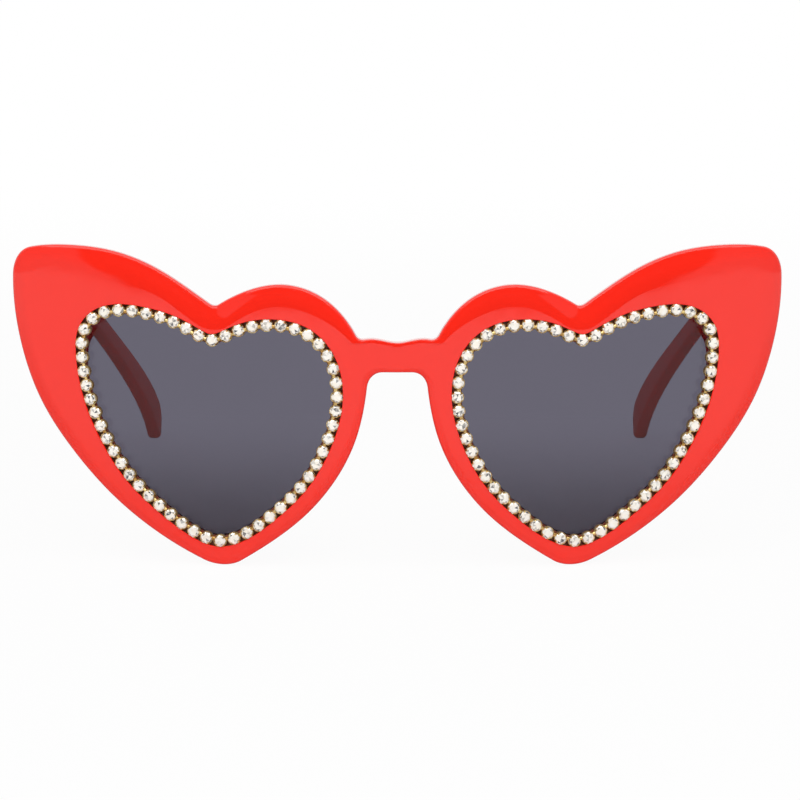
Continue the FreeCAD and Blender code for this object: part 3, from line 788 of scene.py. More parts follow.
@dataclass
class HingeRoom:
    """The room that the left-hand hinge takes in the plastic round it, in millimetres as worn."""

    lines: FrontLines
    drop: float = 12.4
    temple_thickness: float = 4.2
    temple_height: float = 10.8
    axis_inset: float = 0.9
    knuckle_radius: float = 1.5
    knuckle_length: float = 2.2
    knuckle_gap: float = 0.05
    relief: float = 0.3
    leaf_length: float = 5.0
    leaf_thickness: float = 1.0
    clearance: float = 0.02
    head_radius: float = 1.25
    head_height: float = 0.7
    butt_gap: float = 0.2
    arc_points: int = 24

    @property
    def side_inner(self) -> float:
        """The inner face of the temple at the hinge."""
        return self.lines.side_outer - self.temple_thickness

    @property
    def axis(self) -> Vector:
        """The middle of the hinge, on its axis."""
        return Vector((self.side_inner - self.axis_inset, self.lines.butt_y, self.lines.wing_z - self.drop))

    @property
    def half(self) -> float:
        """Half the height of the three knuckles."""
        return 1.5 * self.knuckle_length + self.knuckle_gap

    def post(self, radius: float, bottom: float, top: float) -> bpy.types.Object:
        """Model a cutter round the hinge's axis.

        Args:
            radius: its radius.
            bottom: its lower end.
            top: its upper end.

        Returns:
            The cutter.
        """
        turns = np.linspace(0, math.tau, 2 * self.arc_points, endpoint=False)
        x, y = self.axis.x + radius * np.cos(turns), self.axis.y + radius * np.sin(turns)
        return swept("hinge_cutter", [np.column_stack([x, y, np.full(len(x), z)]) for z in (bottom, top)])

    def plate(self, way: Way) -> bpy.types.Object:
        """Model the cutter for the flat of one hinge leaf."""
        half = self.half + self.clearance
        near = self.lines.butt_y - way.value * self.butt_gap / 2
        straight = self.lines.butt_y + way.value * (self.leaf_length - self.half)
        turns = np.linspace(-math.pi / 2, math.pi / 2, self.arc_points)
        y = np.concatenate([[near], straight + way.value * half * np.cos(turns), [near]])
        z = self.axis.z + np.concatenate([[-half], half * np.sin(turns), [half]])
        ends = (self.side_inner - self.axis_inset, self.side_inner + self.leaf_thickness + self.clearance)
        return swept("leaf_cutter", [np.column_stack([np.full(len(y), x), y, z]) for x in ends])

    def cutters(self, way: Way) -> list:
        """Model all the cutters for the plastic that carries one leaf.

        Args:
            way: FORWARDS for the end-piece, BACKWARDS for the temple.

        Returns:
            The cutters.
        """
        own = (0, 2) if way is Way.FORWARDS else (1,)
        shapes = [self.plate(way)]
        for i in range(3):
            bottom = self.axis.z - self.half + i * (self.knuckle_length + self.knuckle_gap)
            top = bottom + self.knuckle_length
            around, past = (self.clearance, self.clearance) if i in own else (self.relief, self.knuckle_gap)
            shapes.append(self.post(self.knuckle_radius + around, bottom - past, top + past))
        shapes.append(self.post(self.head_radius + self.relief, top, top + self.head_height + self.relief))
        return shapes


@dataclass
class FrontMoulding:
    """The one-piece red front: rims, wings, bridge, nose rests and end-pieces, in millimetres."""

    lines: FrontLines
    hinge: HingeRoom
    outline_points: int = 520
    cut_points: int = 7
    bend_weight: float = 1.2
    edge_round: float = 0.8
    crown_drop: float = 0.23
    crown_blend: int = 12
    crown_steps: tuple = (1.0, 0.88, 0.76, 0.64, 0.52, 0.41, 0.31)
    round_steps: int = 6
    back_round: float = 1.0
    face_rows: int = 7
    bridge_knots: tuple = (18.4, 19.5)
    wing_knot: int = 5
    tip_knot: int = 13
    channel_edge: float = 1.1
    channel_round: float = 0.12
    ledge_inset: float = 0.8
    ledge_round: float = 0.2
    lip_share: float = 0.3
    lens_front: float = 2.0
    lens_back: float = 3.9
    groove_edge: float = 0.4
    rest_length: float = 17.0
    rest_width: float = 6.2
    rest_height: float = 4.4
    rest_tilt: float = 13.0
    rest_splay: float = 24.0
    rest_level: float = 0.54
    rest_offset: float = 0.4
    rest_fullness: float = 0.9
    rest_from: float = 0.7
    rest_fade: float = 0.25
    end_fillet: float = 1.0
    end_round: float = 1.0
    fillet_points: int = 10
    round_points: int = 6
    line_step: int = 4
    smooth_angle: float = 32.0
    _shares: np.ndarray = field(init=False, default=None)
    _edge: np.ndarray = field(init=False, default=None)
    _inward: np.ndarray = field(init=False, default=None)
    _crown: np.ndarray = field(init=False, default=None)

    def lay_out(self) -> None:
        """Spread the skin's points along the outer edge and match them to the heart's line.

        The first stops give how wide the crown of the edge is along the outer edge, and the second how far
        round the heart each corner's matching point lies.
        """
        line, corners = self.lines.outer_line()
        marks = lengths(line)
        ways = headings(line)
        turn = np.abs(np.diff(np.unwrap(np.arctan2(ways[:, 1], ways[:, 0]))))
        weight = np.concatenate([[0.0], np.cumsum(np.diff(marks) + self.bend_weight * turn)])
        places = np.interp(np.linspace(0, weight[-1], self.outline_points), weight, marks)
        way = taken(ways, marks, places)
        way /= np.linalg.norm(way, axis=1)[:, None]
        self._edge = taken(line, marks, places)
        self._inward = np.stack([way[:, 1], -way[:, 0]], axis=1)
        self._inward[0], self._inward[-1] = (0, -1), (0, 1)

        bridge, notch, wing, tip, nose = corners
        end = marks[-1]
        lobe, top = notch - bridge, wing - notch
        stops = ((0, 0.4), (bridge - 2, 0.45), (bridge + 3, 1.8), (bridge + 0.3 * lobe, 3.6),
                 (bridge + 0.7 * lobe, 3.9), (notch, 4.6), (notch + 0.16 * top, 4.4),
                 (notch + 0.29 * top, 4.0), (notch + 0.38 * top, 4.7), (notch + 0.47 * top, 5.3),
                 (notch + 0.55 * top, 5.6), (notch + 0.61 * top, 5.4), (notch + 0.71 * top, 3.2),
                 (wing, 2.8), (wing + 18, 3.0), (wing + 0.6 * (tip - wing), 2.3), (tip, 2.1), (nose, 1.6),
                 (end, 0.4))
        wide = np.pad(np.interp(places, *zip(*stops)), self.crown_blend, mode="edge")
        span = 2 * self.crown_blend + 1
        self._crown = np.convolve(wide, np.full(span, 1 / span), mode="valid")

        share = self.lines.knot_share
        leave, come = (share(knot) for knot in self.bridge_knots)
        step = (come - leave) / 3
        stops = ((0, come - step), (bridge, come), (notch, 1.0), (wing, 1 + share(self.wing_knot)),
                 (tip, 1 + share(self.tip_knot)), (nose, 1 + leave), (end, 1 + leave + step))
        shares = np.interp(places, *zip(*stops))
        between = np.linspace(1 + leave + step, 1 + come - step, self.cut_points + 2)[1:-1]
        self._shares = np.concatenate([shares, between])

    def outer_ring(self, inset: Any, depth: Any) -> np.ndarray:
        """A ring that follows the outer edge and closes down the middle of the bridge.

        Args:
            inset: how far in from the edge it lies, for each point or for all.
            depth: how far below the front surface it lies.

        Returns:
            The ring's points.
        """
        flat = self._edge + self._inward * (np.broadcast_to(inset, len(self._edge))[:, None])
        flat[0, 0] = flat[-1, 0] = 0.0
        climb = np.linspace(flat[-1, 1], flat[0, 1], self.cut_points + 2)[1:-1]
        flat = np.vstack([flat, np.stack([np.zeros(self.cut_points), climb], axis=1)])
        deep = np.broadcast_to(depth, len(self._edge))
        deep = np.concatenate([deep, np.linspace(deep[-1], deep[0], self.cut_points + 2)[1:-1]])
        return self.lines.bent(flat, deep)

    def heart_ring(self, distance: float, depth: float) -> np.ndarray:
        """A ring that follows the heart at a distance outside its stone line."""
        return self.lines.bent(self.lines.heart(self._shares, distance), depth)

    def rows(self, start: np.ndarray, end: np.ndarray, depth: float) -> list:
        """The rings across a flat face between two rings."""
        flats = [start[:, [0, 2]] + (end - start)[:, [0, 2]] * share
                 for share in np.linspace(0, 1, self.face_rows + 2)[1:-1]]
        return [self.lines.bent(flat, depth) for flat in flats]

    def rings(self) -> list:
        """All the rings of the left half, from the crown of the edge round the back to the front face."""
        crown, thick = self._crown, self.lines.thickness
        drop = self.crown_drop * crown
        rings = [self.outer_ring(crown * share, drop * (1 - share) ** 2) for share in self.crown_steps]
        brink = np.minimum(crown * self.crown_steps[-1], self.edge_round)
        brink_depth = drop * (1 - brink / crown) ** 2
        for turn in np.linspace(0, math.pi / 2, self.round_steps):
            rings.append(self.outer_ring(brink * (1 - math.sin(turn)),
                                         brink_depth + self.edge_round * (1 - math.cos(turn))))
        for turn in np.linspace(0, math.pi / 2, self.round_steps):
            rings.append(self.outer_ring(self.back_round * (1 - math.cos(turn)),
                                         thick - self.back_round * (1 - math.sin(turn))))
        lip, inset, floor = self.ledge_round, -self.ledge_inset, self.lines.channel_depth
        bevel = lip * self.lip_share
        back = self.heart_ring(inset + lip, thick)
        rings += self.rows(rings[-1], back, thick) + [back]
        bore = ((inset + bevel, thick - bevel), (inset, thick - lip), (inset, self.lens_back),
                (self.groove_edge, self.lens_back), (self.groove_edge, self.lens_front),
                (inset, self.lens_front), (inset, floor + lip), (inset + bevel, floor + bevel),
                (inset + lip, floor), (self.channel_edge - lip, floor), (self.channel_edge, floor - lip))
        rings += [self.heart_ring(distance, depth) for distance, depth in bore]
        for turn in np.linspace(0, math.pi / 2, self.round_steps):
            rings.append(self.heart_ring(self.channel_edge + self.channel_round * (1 - math.cos(turn)),
                                         self.channel_round * (1 - math.sin(turn))))
        return rings + self.rows(rings[-1], rings[0], 0.0)

    def rests_raised(self, rings: list) -> None:
        """Swell the back of the nose rim into a nose rest."""
        middle = self.lines.point(0, self.rest_level)
        middle[0] -= self.lines.nose_rim / 2 - self.rest_offset
        tilt, splay = math.radians(self.rest_tilt), math.radians(self.rest_splay)
        for ring in rings:
            x, z = ring[:, 0] - middle[0], ring[:, 2] - middle[1]
            depth = ring[:, 1] - self.lines.wrap(ring[:, 0])
            along = z * math.cos(tilt) - x * math.sin(tilt)
            across = x * math.cos(tilt) + z * math.sin(tilt)
            away = (2 * along / self.rest_length) ** 2 + (2 * across / self.rest_width) ** 2
            swell = self.rest_height * np.clip(1 - away, 0, 1) ** self.rest_fullness
            swell *= np.clip((depth / self.lines.thickness - self.rest_from) / self.rest_fade, 0, 1)
            ring[:, 0] += swell * math.sin(splay)
            ring[:, 1] += swell * math.cos(splay)

    def end_piece(self) -> bpy.types.Object:
        """Model the left-hand block behind the wing that carries the hinge."""
        lines, inner, outer = self.lines, self.hinge.side_inner, self.lines.side_outer
        near = float(lines.wrap(inner, lines.thickness / 2))
        far = lines.butt_y - self.hinge.butt_gap / 2
        inside = inner - self.end_fillet
        root = float(lines.wrap(inside, lines.thickness))
        turns = np.linspace(-math.pi / 2, 0, self.fillet_points)
        hollow = np.column_stack([inside + self.end_fillet * np.cos(turns),
                                  root + self.end_fillet * (1 + np.sin(turns))])
        curl = np.linspace(0, math.pi / 2, self.round_points)
        half = self.hinge.temple_height / 2
        rings = []
        for turn, way in [(t, -1) for t in curl] + [(t, 1) for t in curl[::-1]]:
            face = outer - self.end_round * (1 - math.sin(turn))
            plan = np.vstack([[inside, near], hollow, [inner, far], [face, far], [face, near]])
            height = self.hinge.axis.z + way * (half - self.end_round * (1 - math.cos(turn)))
            rings.append(np.column_stack([plan, np.full(len(plan), height)]))
        block = swept("end_piece_left", rings)
        combined(block, self.hinge.cutters(Way.FORWARDS), "DIFFERENCE")
        return block

    def cemented(self, front: bpy.types.Object) -> None:
        """Give the stone channel's faces the front's second material, the dark brown painted shade that
        stands in for the shade in the channel round the cups.
        """
        line = self.lines.stone_line()[::self.line_step]
        for face in front.data.polygons:
            x, y, z = face.center / MM
            depth = y - self.lines.wrap(x)
            near = np.min(np.hypot(line[:, 0] - abs(x), line[:, 1] - z))
            low = self.channel_round < depth < self.lens_front
            face.material_index = int(low and near < self.channel_edge + self.channel_round)

    def build(self, stance: Stance, red: bpy.types.Material, painted_shade_material: bpy.types.Material) -> None:
        """Model, stand up and dress the front."""
        self.lay_out()
        rings = self.rings()
        self.rests_raised(rings)
        front = swept("frame_front_moulding", rings, joined=True)
        pick_faces(front, lambda face: all(abs(vert.co.x) < WELD for vert in face.verts))
        bpy.ops.mesh.delete(type="FACE")
        bpy.ops.object.mode_set(mode="OBJECT")
        mirror = front.modifiers.new("other_half", "MIRROR")
        mirror.merge_threshold = 10 * WELD
        bpy.ops.object.modifier_apply(modifier=mirror.name)
        block = self.end_piece()
        combined(front, [block, other_side(block)], "UNION")
        smoothed(front, self.smooth_angle)
        # The second material is the painted shade in the stone channel.
        dressed(front, red, painted_shade_material)
        self.cemented(front)
        handed_in(front, stance, "front", Slot.PLASTIC, "frame_front")


@dataclass
class Lens:
    """A grey lens, bent with the front and held in its groove, in millimetres."""

    lines: FrontLines
    edge: float = 0.35
    front_depth: float = 2.05
    back_depth: float = 3.85
    edge_round: float = 0.15
    points: int = 220
    middle_up: float = 0.55
    rows: tuple = (0.92, 0.78, 0.6, 0.42, 0.25, 0.1)
    smooth_angle: float = 40.0

    def rings(self) -> list:
        """The rings of the left-hand lens, from the middle of its front to the middle of its back."""
        shares = np.linspace(0, 1, self.points, endpoint=False)
        rim = self.lines.heart(shares, self.edge)
        lip = self.lines.heart(shares, self.edge - self.edge_round)
        middle = self.lines.point(0.5, self.middle_up)
        inner = [middle + (lip - middle) * share for share in self.rows]
        stack = [(flat, self.front_depth) for flat in inner[::-1]]
        stack += [(lip, self.front_depth), (rim, self.front_depth + self.edge_round),
                  (rim, self.back_depth - self.edge_round), (lip, self.back_depth)]
        stack += [(flat, self.back_depth) for flat in inner]
        return [self.lines.bent(flat, depth) for flat, depth in stack]

    def build(self, stance: Stance, grey: bpy.types.Material) -> None:
        """Model, stand up and dress both lenses."""
        left = swept("lens_left_sheet", self.rings())
        for side, lens in zip(Side, (left, other_side(left))):
            smoothed(lens, self.smooth_angle)
            dressed(lens, grey)
            handed_in(lens, stance, "front", Slot.LENS, f"lens_{side.suffix}")


@dataclass
class StoneChain:
    """The chain of claw cups round each heart, with its links and its stones, in millimetres."""

    lines: FrontLines
    stone_count: int = 55
    stone_radius: float = 1.18
    table_radius: float = 0.73
    crown_height: float = 0.42
    crown_break: tuple = (0.99, 0.25)
    pavilion_depth: float = 0.78
    facets: int = 8
    facet_order: tuple = (1.0, 0.23, 20.0)
    cup_radius: float = 1.27
    cup_wall: float = 0.1
    cup_floor: float = 0.4
    cup_height: float = 1.23
    cup_sides: int = 16
    cup_taper: tuple = (0.1, 0.1, 1.0)
    rim_drop: float = 0.1
    clearance: float = 0.03
    claw_count: int = 4
    claw_stand: float = 1.25
    claw_root: float = 0.2
    claw_rise: float = 0.40
    claw_lean: float = 0.25
    claw_width: float = 0.5
    claw_tip: tuple = (1.2, 0.7, 1.0)
    claw_round: float = 0.06
    link_width: float = 0.62
    link_inset: float = 0.22
    link_thickness: float = 0.35
    link_level: float = 1.24
    link_round: float = 0.15
    upwards: float = 0.99
    look_ahead: float = 1e-4
    seed: int = 11

    def places(self, side: Side) -> list:
        """Each stone's upright place on the floor of the channel.

        Args:
            side: which heart.

        Returns:
            A matrix for each stone, as worn: X along the chain, Z out of the front.
        """
        shares = np.arange(self.stone_count) / self.stone_count
        spots = self.lines.heart(shares, 0.0)
        near = self.lines.heart(shares + self.look_ahead, 0.0)
        radius, sunk = self.lines.wrap_radius, self.lines.channel_depth - self.clearance
        matrices = []
        for (x, z), (next_x, next_z) in zip(spots, near):
            out = Vector((x, -math.sqrt(radius ** 2 - x ** 2), 0)) / radius
            foot = Vector((x, float(self.lines.wrap(x)), z)) - out * sunk
            run = Vector((next_x - x, float(self.lines.wrap(next_x) - self.lines.wrap(x)), next_z - z))
            for vector in (out, foot, run):
                vector.x *= side.value
            aside = out.cross(run).normalized()
            run = aside.cross(out)
            turn = Matrix((run, aside, out)).transposed()
            matrices.append(Matrix.Translation(foot * MM) @ turn.to_4x4())
        return matrices

    def bars(self, side: Side, places: Sequence[Matrix]) -> list:
        """The places of the links between the cups.

        Args:
            side: which heart.
            places: the cups' places.

        Returns:
            A matrix for each link, as worn, a little to the lens side of the line of the stones.
        """
        inset = Matrix.Translation((0, -side.value * self.link_inset * MM, 0))
        matrices = []
        for here, there in zip(places, places[1:] + places[:1]):
            run = (there.translation - here.translation).normalized()
            aside = (here.col[2].xyz + there.col[2].xyz).cross(run).normalized()
            turn = Matrix((run, aside, run.cross(aside))).transposed()
            middle = Matrix.Translation((here.translation + there.translation) / 2)
            matrices.append(middle @ turn.to_4x4() @ inset)
        return matrices

    def cup(self) -> bpy.types.Object:
        """Model one claw cup, upright on the origin."""
        select_only()
        tall = self.cup_height - self.rim_drop
        bpy.ops.mesh.primitive_cylinder_add(vertices=self.cup_sides, radius=self.cup_radius * MM,
                                            depth=tall * MM, location=(0, 0, tall * MM / 2))
        cup = bpy.context.object
        bpy.ops.object.transform_apply(location=True)
        pick_faces(cup, lambda face: face.normal.z > self.upwards)
        bpy.ops.mesh.inset(thickness=self.cup_wall * MM)
        deep = (tall - self.cup_floor) * MM
        bpy.ops.mesh.extrude_region_move(TRANSFORM_OT_translate={"value": (0, 0, -deep)})
        bpy.ops.transform.resize(value=self.cup_taper)
        bpy.ops.object.mode_set(mode="OBJECT")
        claws = [self.claw(math.tau * (i + 0.5) / self.claw_count) for i in range(self.claw_count)]
        select_only(cup, *claws)
        bpy.ops.object.join()
        return cup

    def claw(self, turn: float) -> bpy.types.Object:
        """Model one claw that leans over the stone, at a turn about the cup."""
        select_only()
        bottom, top = self.cup_height - self.rim_drop - self.claw_root, self.cup_height + self.claw_rise
        bpy.ops.mesh.primitive_cube_add(size=MM, location=(self.claw_stand * MM, 0, (bottom + top) / 2 * MM))
        claw = bpy.context.object
        claw.scale = (self.cup_wall, self.claw_width, top - bottom)
        bpy.ops.object.transform_apply(location=True, scale=True)
        pick_faces(claw, lambda face: face.normal.z > self.upwards)
        bpy.ops.transform.translate(value=(-self.claw_lean * MM, 0, 0))
        bpy.ops.transform.resize(value=self.claw_tip)
        bpy.ops.mesh.select_all(action="SELECT")
        bpy.ops.mesh.bevel(offset=self.claw_round * MM, segments=1)
        bpy.ops.object.mode_set(mode="OBJECT")
        claw.rotation_euler.z = turn
        bpy.ops.object.transform_apply(rotation=True)
        return claw

    def stone(self) -> bpy.types.Object:
        """Model one brilliant stone, in its place in an upright cup."""
        step = math.pi / self.facets
        select_only()
        bpy.ops.mesh.primitive_circle_add(vertices=self.facets, radius=self.table_radius * MM,
                                          fill_type="NGON",
                                          location=(0, 0, (self.cup_height + self.crown_height) * MM))
        stone = bpy.context.object
        bpy.ops.object.transform_apply(location=True)
        radius, height = self.table_radius, self.crown_height
        bpy.ops.object.mode_set(mode="EDIT")
        for next_radius, next_height in (self.crown_break, (self.stone_radius, 0.0)):
            bpy.ops.mesh.extrude_region_move(
                TRANSFORM_OT_translate={"value": (0, 0, (next_height - height) * MM)})
            bpy.ops.transform.resize(value=(next_radius / radius, next_radius / radius, 1.0))
            bpy.ops.transform.rotate(value=step, orient_axis="Z", center_override=(0, 0, 0))
            radius, height = next_radius, next_height
        bpy.ops.mesh.extrude_region_move(
            TRANSFORM_OT_translate={"value": (0, 0, (-self.pavilion_depth - height) * MM)})
        bpy.ops.mesh.merge(type="CENTER")
        turn_outwards()
        pick_faces(stone, lambda face: face.normal.z > self.upwards)
        bpy.ops.mesh.poke()
        bpy.ops.mesh.select_all(action="SELECT")
        bpy.ops.mesh.quads_convert_to_tris(quad_method="SHORTEST_DIAGONAL", ngon_method="BEAUTY")
        # Extruding numbers the facets differently in each run, and their painted reflections go by their
        # numbers.
        mesh = bmesh.from_edit_mesh(stone.data)
        mesh.faces.sort(key=lambda face: face.calc_center_median().dot(Vector(self.facet_order)))
        bmesh.update_edit_mesh(stone.data)
        bpy.ops.object.mode_set(mode="OBJECT")
        return stone

    def link(self, length: float) -> bpy.types.Object:
        """Model one bar of the chain, upright on the origin."""
        select_only()
        bpy.ops.mesh.primitive_cube_add(size=MM, location=(0, 0, self.link_level * MM))
        link = bpy.context.object
        link.scale = (length, self.link_width, self.link_thickness)
        bpy.ops.object.transform_apply(location=True, scale=True)
        bpy.ops.object.mode_set(mode="EDIT")
        bpy.ops.mesh.select_all(action="SELECT")
        bpy.ops.mesh.bevel(offset=self.link_round * MM, segments=1)
        bpy.ops.object.mode_set(mode="OBJECT")
        return link

    @staticmethod
    def laid(name: str, pattern: bpy.types.Object, matrices: Sequence[Matrix]) -> bpy.types.Object:
        """Copy a pattern to its places and join the copies.

        Args:
            name: the joined object's name.
            pattern: what is copied.
            matrices: the places.

        Returns:
            The joined object, as worn.
        """
        copies = []
        for matrix in matrices:
            copy = pattern.copy()
            copy.data = pattern.data.copy()
            copy.matrix_world = matrix
            bpy.context.collection.objects.link(copy)
            copies.append(copy)
        select_only(*copies)
        bpy.ops.object.join()
        whole = bpy.context.object
        whole.name = whole.data.name = name
        bpy.ops.object.transform_apply(location=True, rotation=True, scale=True)
        return whole

    def build(self, stance: Stance, gold: bpy.types.Material, crystal: bpy.types.Material) -> None:
        """Model, stand up and dress the two chains and their stones."""
        cup, stone = self.cup(), self.stone()
        draw = random.Random(self.seed)
        for side in Side:
            places = self.places(side)
            turned = [place @ Matrix.Rotation(draw.uniform(0, math.tau), 4, "Z") for place in places]
            pitch = (places[1].translation - places[0].translation).length / MM
            flat = self.cup_radius * math.cos(math.pi / self.facets)
            link = self.link(pitch - 2 * (flat - self.link_round))
            pieces = ((f"stone_cups_{side.suffix}", cup, places, gold, Slot.BRASS),
                      (f"stone_links_{side.suffix}", link, self.bars(side, places), gold, Slot.BRASS),
                      (f"crystals_{side.suffix}", stone, turned, crystal, Slot.CRYSTAL))
            for node, pattern, matrices, material, slot in pieces:
                whole = self.laid(f"{node}_set", pattern, matrices)
                # Each stone facet gets a seeded value that picks its painted reflection.
                if pattern is stone:
                    tones = whole.data.attributes.new(FACET_REFLECTIONS, "FLOAT", "FACE")
                    tones.data.foreach_set("value", [draw.random() for _ in whole.data.polygons])
                dressed(whole, material)
                handed_in(whole, stance, "front", slot, node)
            bpy.data.objects.remove(link)
        bpy.data.objects.remove(cup)
        bpy.data.objects.remove(stone)


@dataclass
class Temple:
    """A moulded side arm with its drooping ear piece, in millimetres."""

    lines: FrontLines
    hinge: HingeRoom
    mid_thickness: float = 2.9
    mid_height: float = 6.6
    tip_height: float = 10.0
    slope: float = 4.9
    straight: float = 70.4
    taper: float = 40.0
    round: float = 1.0
    bend_radius: float = 32.8
    bend_angle: float = 34.9
    ear_length: float = 35.5
    tuck: float = 14.9
    tuck_start: float = 58.7
    tuck_slant: float = 65.0
    stations: int = 8
    arc_points: int = 6
    tip_turns: int = 12
    tip_angle: float = 88.0
    taper_start: float = 1.5
    polish_limit: float = 0.3
    smooth_angle: float = 32.0

    def middle(self, run: float) -> tuple[np.ndarray, np.ndarray]:
        """A point of the middle line, seen from the side.

        Args:
            run: how far along the line it lies.

        Returns:
            The point and the upward normal there, a y and z each.
        """
        slope, bend = math.radians(self.slope), math.radians(self.bend_angle)
        turned = slope + min(max(run - self.straight, 0) / (self.bend_radius * bend), 1) * bend
        first, normal = (np.array([math.sin(turn), math.cos(turn)]) for turn in (slope, turned))
        spot = np.array([self.lines.butt_y, self.hinge.axis.z])
        spot += min(run, self.straight) * first[::-1] * (1, -1)
        spot += self.bend_radius * (normal - first)
        spot += max(run - self.straight - self.bend_radius * bend, 0) * normal[::-1] * (1, -1)
        return spot, normal

    def along_slant(self, y: float, z: float) -> float:
        """How far back a point lies, seen along the slant of the tuck, at the level of the hinge."""
        return y - math.tan(math.radians(self.tuck_slant)) * (z - self.hinge.axis.z)

    def plan(self, tip: np.ndarray) -> tuple[np.ndarray, np.ndarray]:
        """The outer and inner edges seen along the slant of the tuck.

        Args:
            tip: the tip's y and z.

        Returns:
            Two dense lines, each point's x and how far back it lies.
        """
        start, end = self.lines.butt_y + self.tuck_start, self.along_slant(*tip)
        share = np.linspace(0, 1, SPAN_SAMPLES)
        ease = share * share * (3 - 2 * share)
        outer = np.column_stack([self.lines.side_outer - self.tuck * ease, start + share * (end - start)])
        inner = outer - (self.mid_thickness, 0)
        thick = self.along_slant(self.lines.butt_y, self.hinge.axis.z - self.hinge.temple_height / 2)
        run = self.taper * (share ** 3 + self.taper_start * share * (1 - share))
        thinned = self.hinge.side_inner + (inner[0, 0] - self.hinge.side_inner) * ease
        return outer, np.vstack([np.column_stack([thinned, thick + run]), inner])

    def rings(self) -> list:
        """The rings of the left-hand temple, from its butt to its tip."""
        bend_run = self.bend_radius * math.radians(self.bend_angle)
        tip_run = self.straight + bend_run + self.ear_length
        runs = (self.straight / 2, self.straight, self.straight + bend_run / 2, self.straight + bend_run,
                tip_run)
        heights = (self.mid_height,) * 4 + (self.tip_height,)
        butt = np.array([self.lines.butt_y + self.hinge.butt_gap / 2, self.hinge.axis.z])
        rise = np.array([0.0, self.hinge.temple_height / 2])
        upper, lower = [butt + rise], [butt - rise]
        for run, height in zip(runs, heights):
            spot, normal = self.middle(run)
            upper.append(spot + normal * height / 2)
            lower.append(spot - normal * height / 2)
        tip = self.middle(tip_run + self.tip_height / 2)[0]
        ways = (self.middle(self.straight)[0] - self.middle(0)[0], tip - self.middle(tip_run)[0])
        tops, bottoms = flowing(upper, ways=ways), flowing(lower, ways=ways)
        plan = self.plan(tip)
        step = SPAN_SAMPLES // self.stations
        rings = [self.section((top + bottom) / 2, (top - bottom) / 2, plan, 0.0)
                 for top, bottom in zip(tops[::step], bottoms[::step])]
        radius, ahead = self.tip_height / 2, ways[1] / np.linalg.norm(ways[1])
        half = (tops[-1] - bottoms[-1]) / 2
        for turn in np.linspace(0, math.radians(self.tip_angle), self.tip_turns)[1:]:
            short = radius * (1 - math.sin(turn))
            thin = self.round - math.sqrt(max(self.round ** 2 - max(self.round - short, 0) ** 2, 0))
            rings.append(self.section((tops[-1] + bottoms[-1]) / 2 + ahead * radius * math.sin(turn),
                                      half * math.cos(turn), plan, thin))
        return rings

    def section(self, middle: np.ndarray, half: np.ndarray, plan: tuple, thin: float) -> np.ndarray:
        """A ring round the arm.

        Args:
            middle: its middle, seen from the side.
            half: from its middle to its top.
            plan: the outer and inner edges seen along the slant.
            thin: how much is taken off each face.

        Returns:
            The ring's points, a rounded oblong.
        """
        tall = float(np.linalg.norm(half))
        curve = min(self.round, tall)
        points = []
        for quarter, (out, up) in enumerate(((1, 1), (-1, 1), (-1, -1), (1, -1))):
            for turn in np.linspace(0, math.pi / 2, self.arc_points) + quarter * math.pi / 2:
                y, z = middle + half * (up * (tall - curve) + curve * math.sin(turn)) / tall
                outer, inner = (np.interp(self.along_slant(y, z), edge[:, 1], edge[:, 0]) for edge in plan)
                thick = (outer - inner) / 2 - thin
                corner = min(curve, thick)
                points.append(((outer + inner) / 2 + out * (thick - corner) + corner * math.cos(turn), y, z))
        return np.array(points)

    def build(self, stance: Stance, red: bpy.types.Material, satin: bpy.types.Material) -> None:
        """Model, stand up and dress both temples, polished outside and satin inside."""
        left = swept("temple_left_arm", self.rings())
        combined(left, self.hinge.cutters(Way.BACKWARDS), "DIFFERENCE")
        for side, arm in zip(Side, (left, other_side(left))):
            smoothed(arm, self.smooth_angle)
            dressed(arm, red, satin)
            for face in arm.data.polygons:
                face.material_index = int(face.normal.x * side.value < self.polish_limit)
            handed_in(arm, stance, f"temple_{side.suffix}", Slot.PLASTIC, f"temple_{side.suffix}")


@dataclass(frozen=True)
class SoftBox:
    """A soft box that hangs at a place, in metres, and faces a point; at a level of 1 it is white."""

    name: str
    place: tuple
    aim: tuple
    size: tuple
    level: float
    mirrored: bool = False

    def hang(self) -> None:
        """Hang the lamp."""
        bpy.ops.object.light_add(type="AREA", location=self.place)
        lamp = bpy.context.object
        lamp.name = self.name
        lamp.rotation_euler = (Vector(self.aim) - Vector(self.place)).to_track_quat("-Z", "Y").to_euler()
        lamp.data.shape = "RECTANGLE"
        lamp.data.size, lamp.data.size_y = self.size
        lamp.data.energy = self.level * math.pi * self.size[0] * self.size[1]
        lamp.visible_glossy = self.mirrored


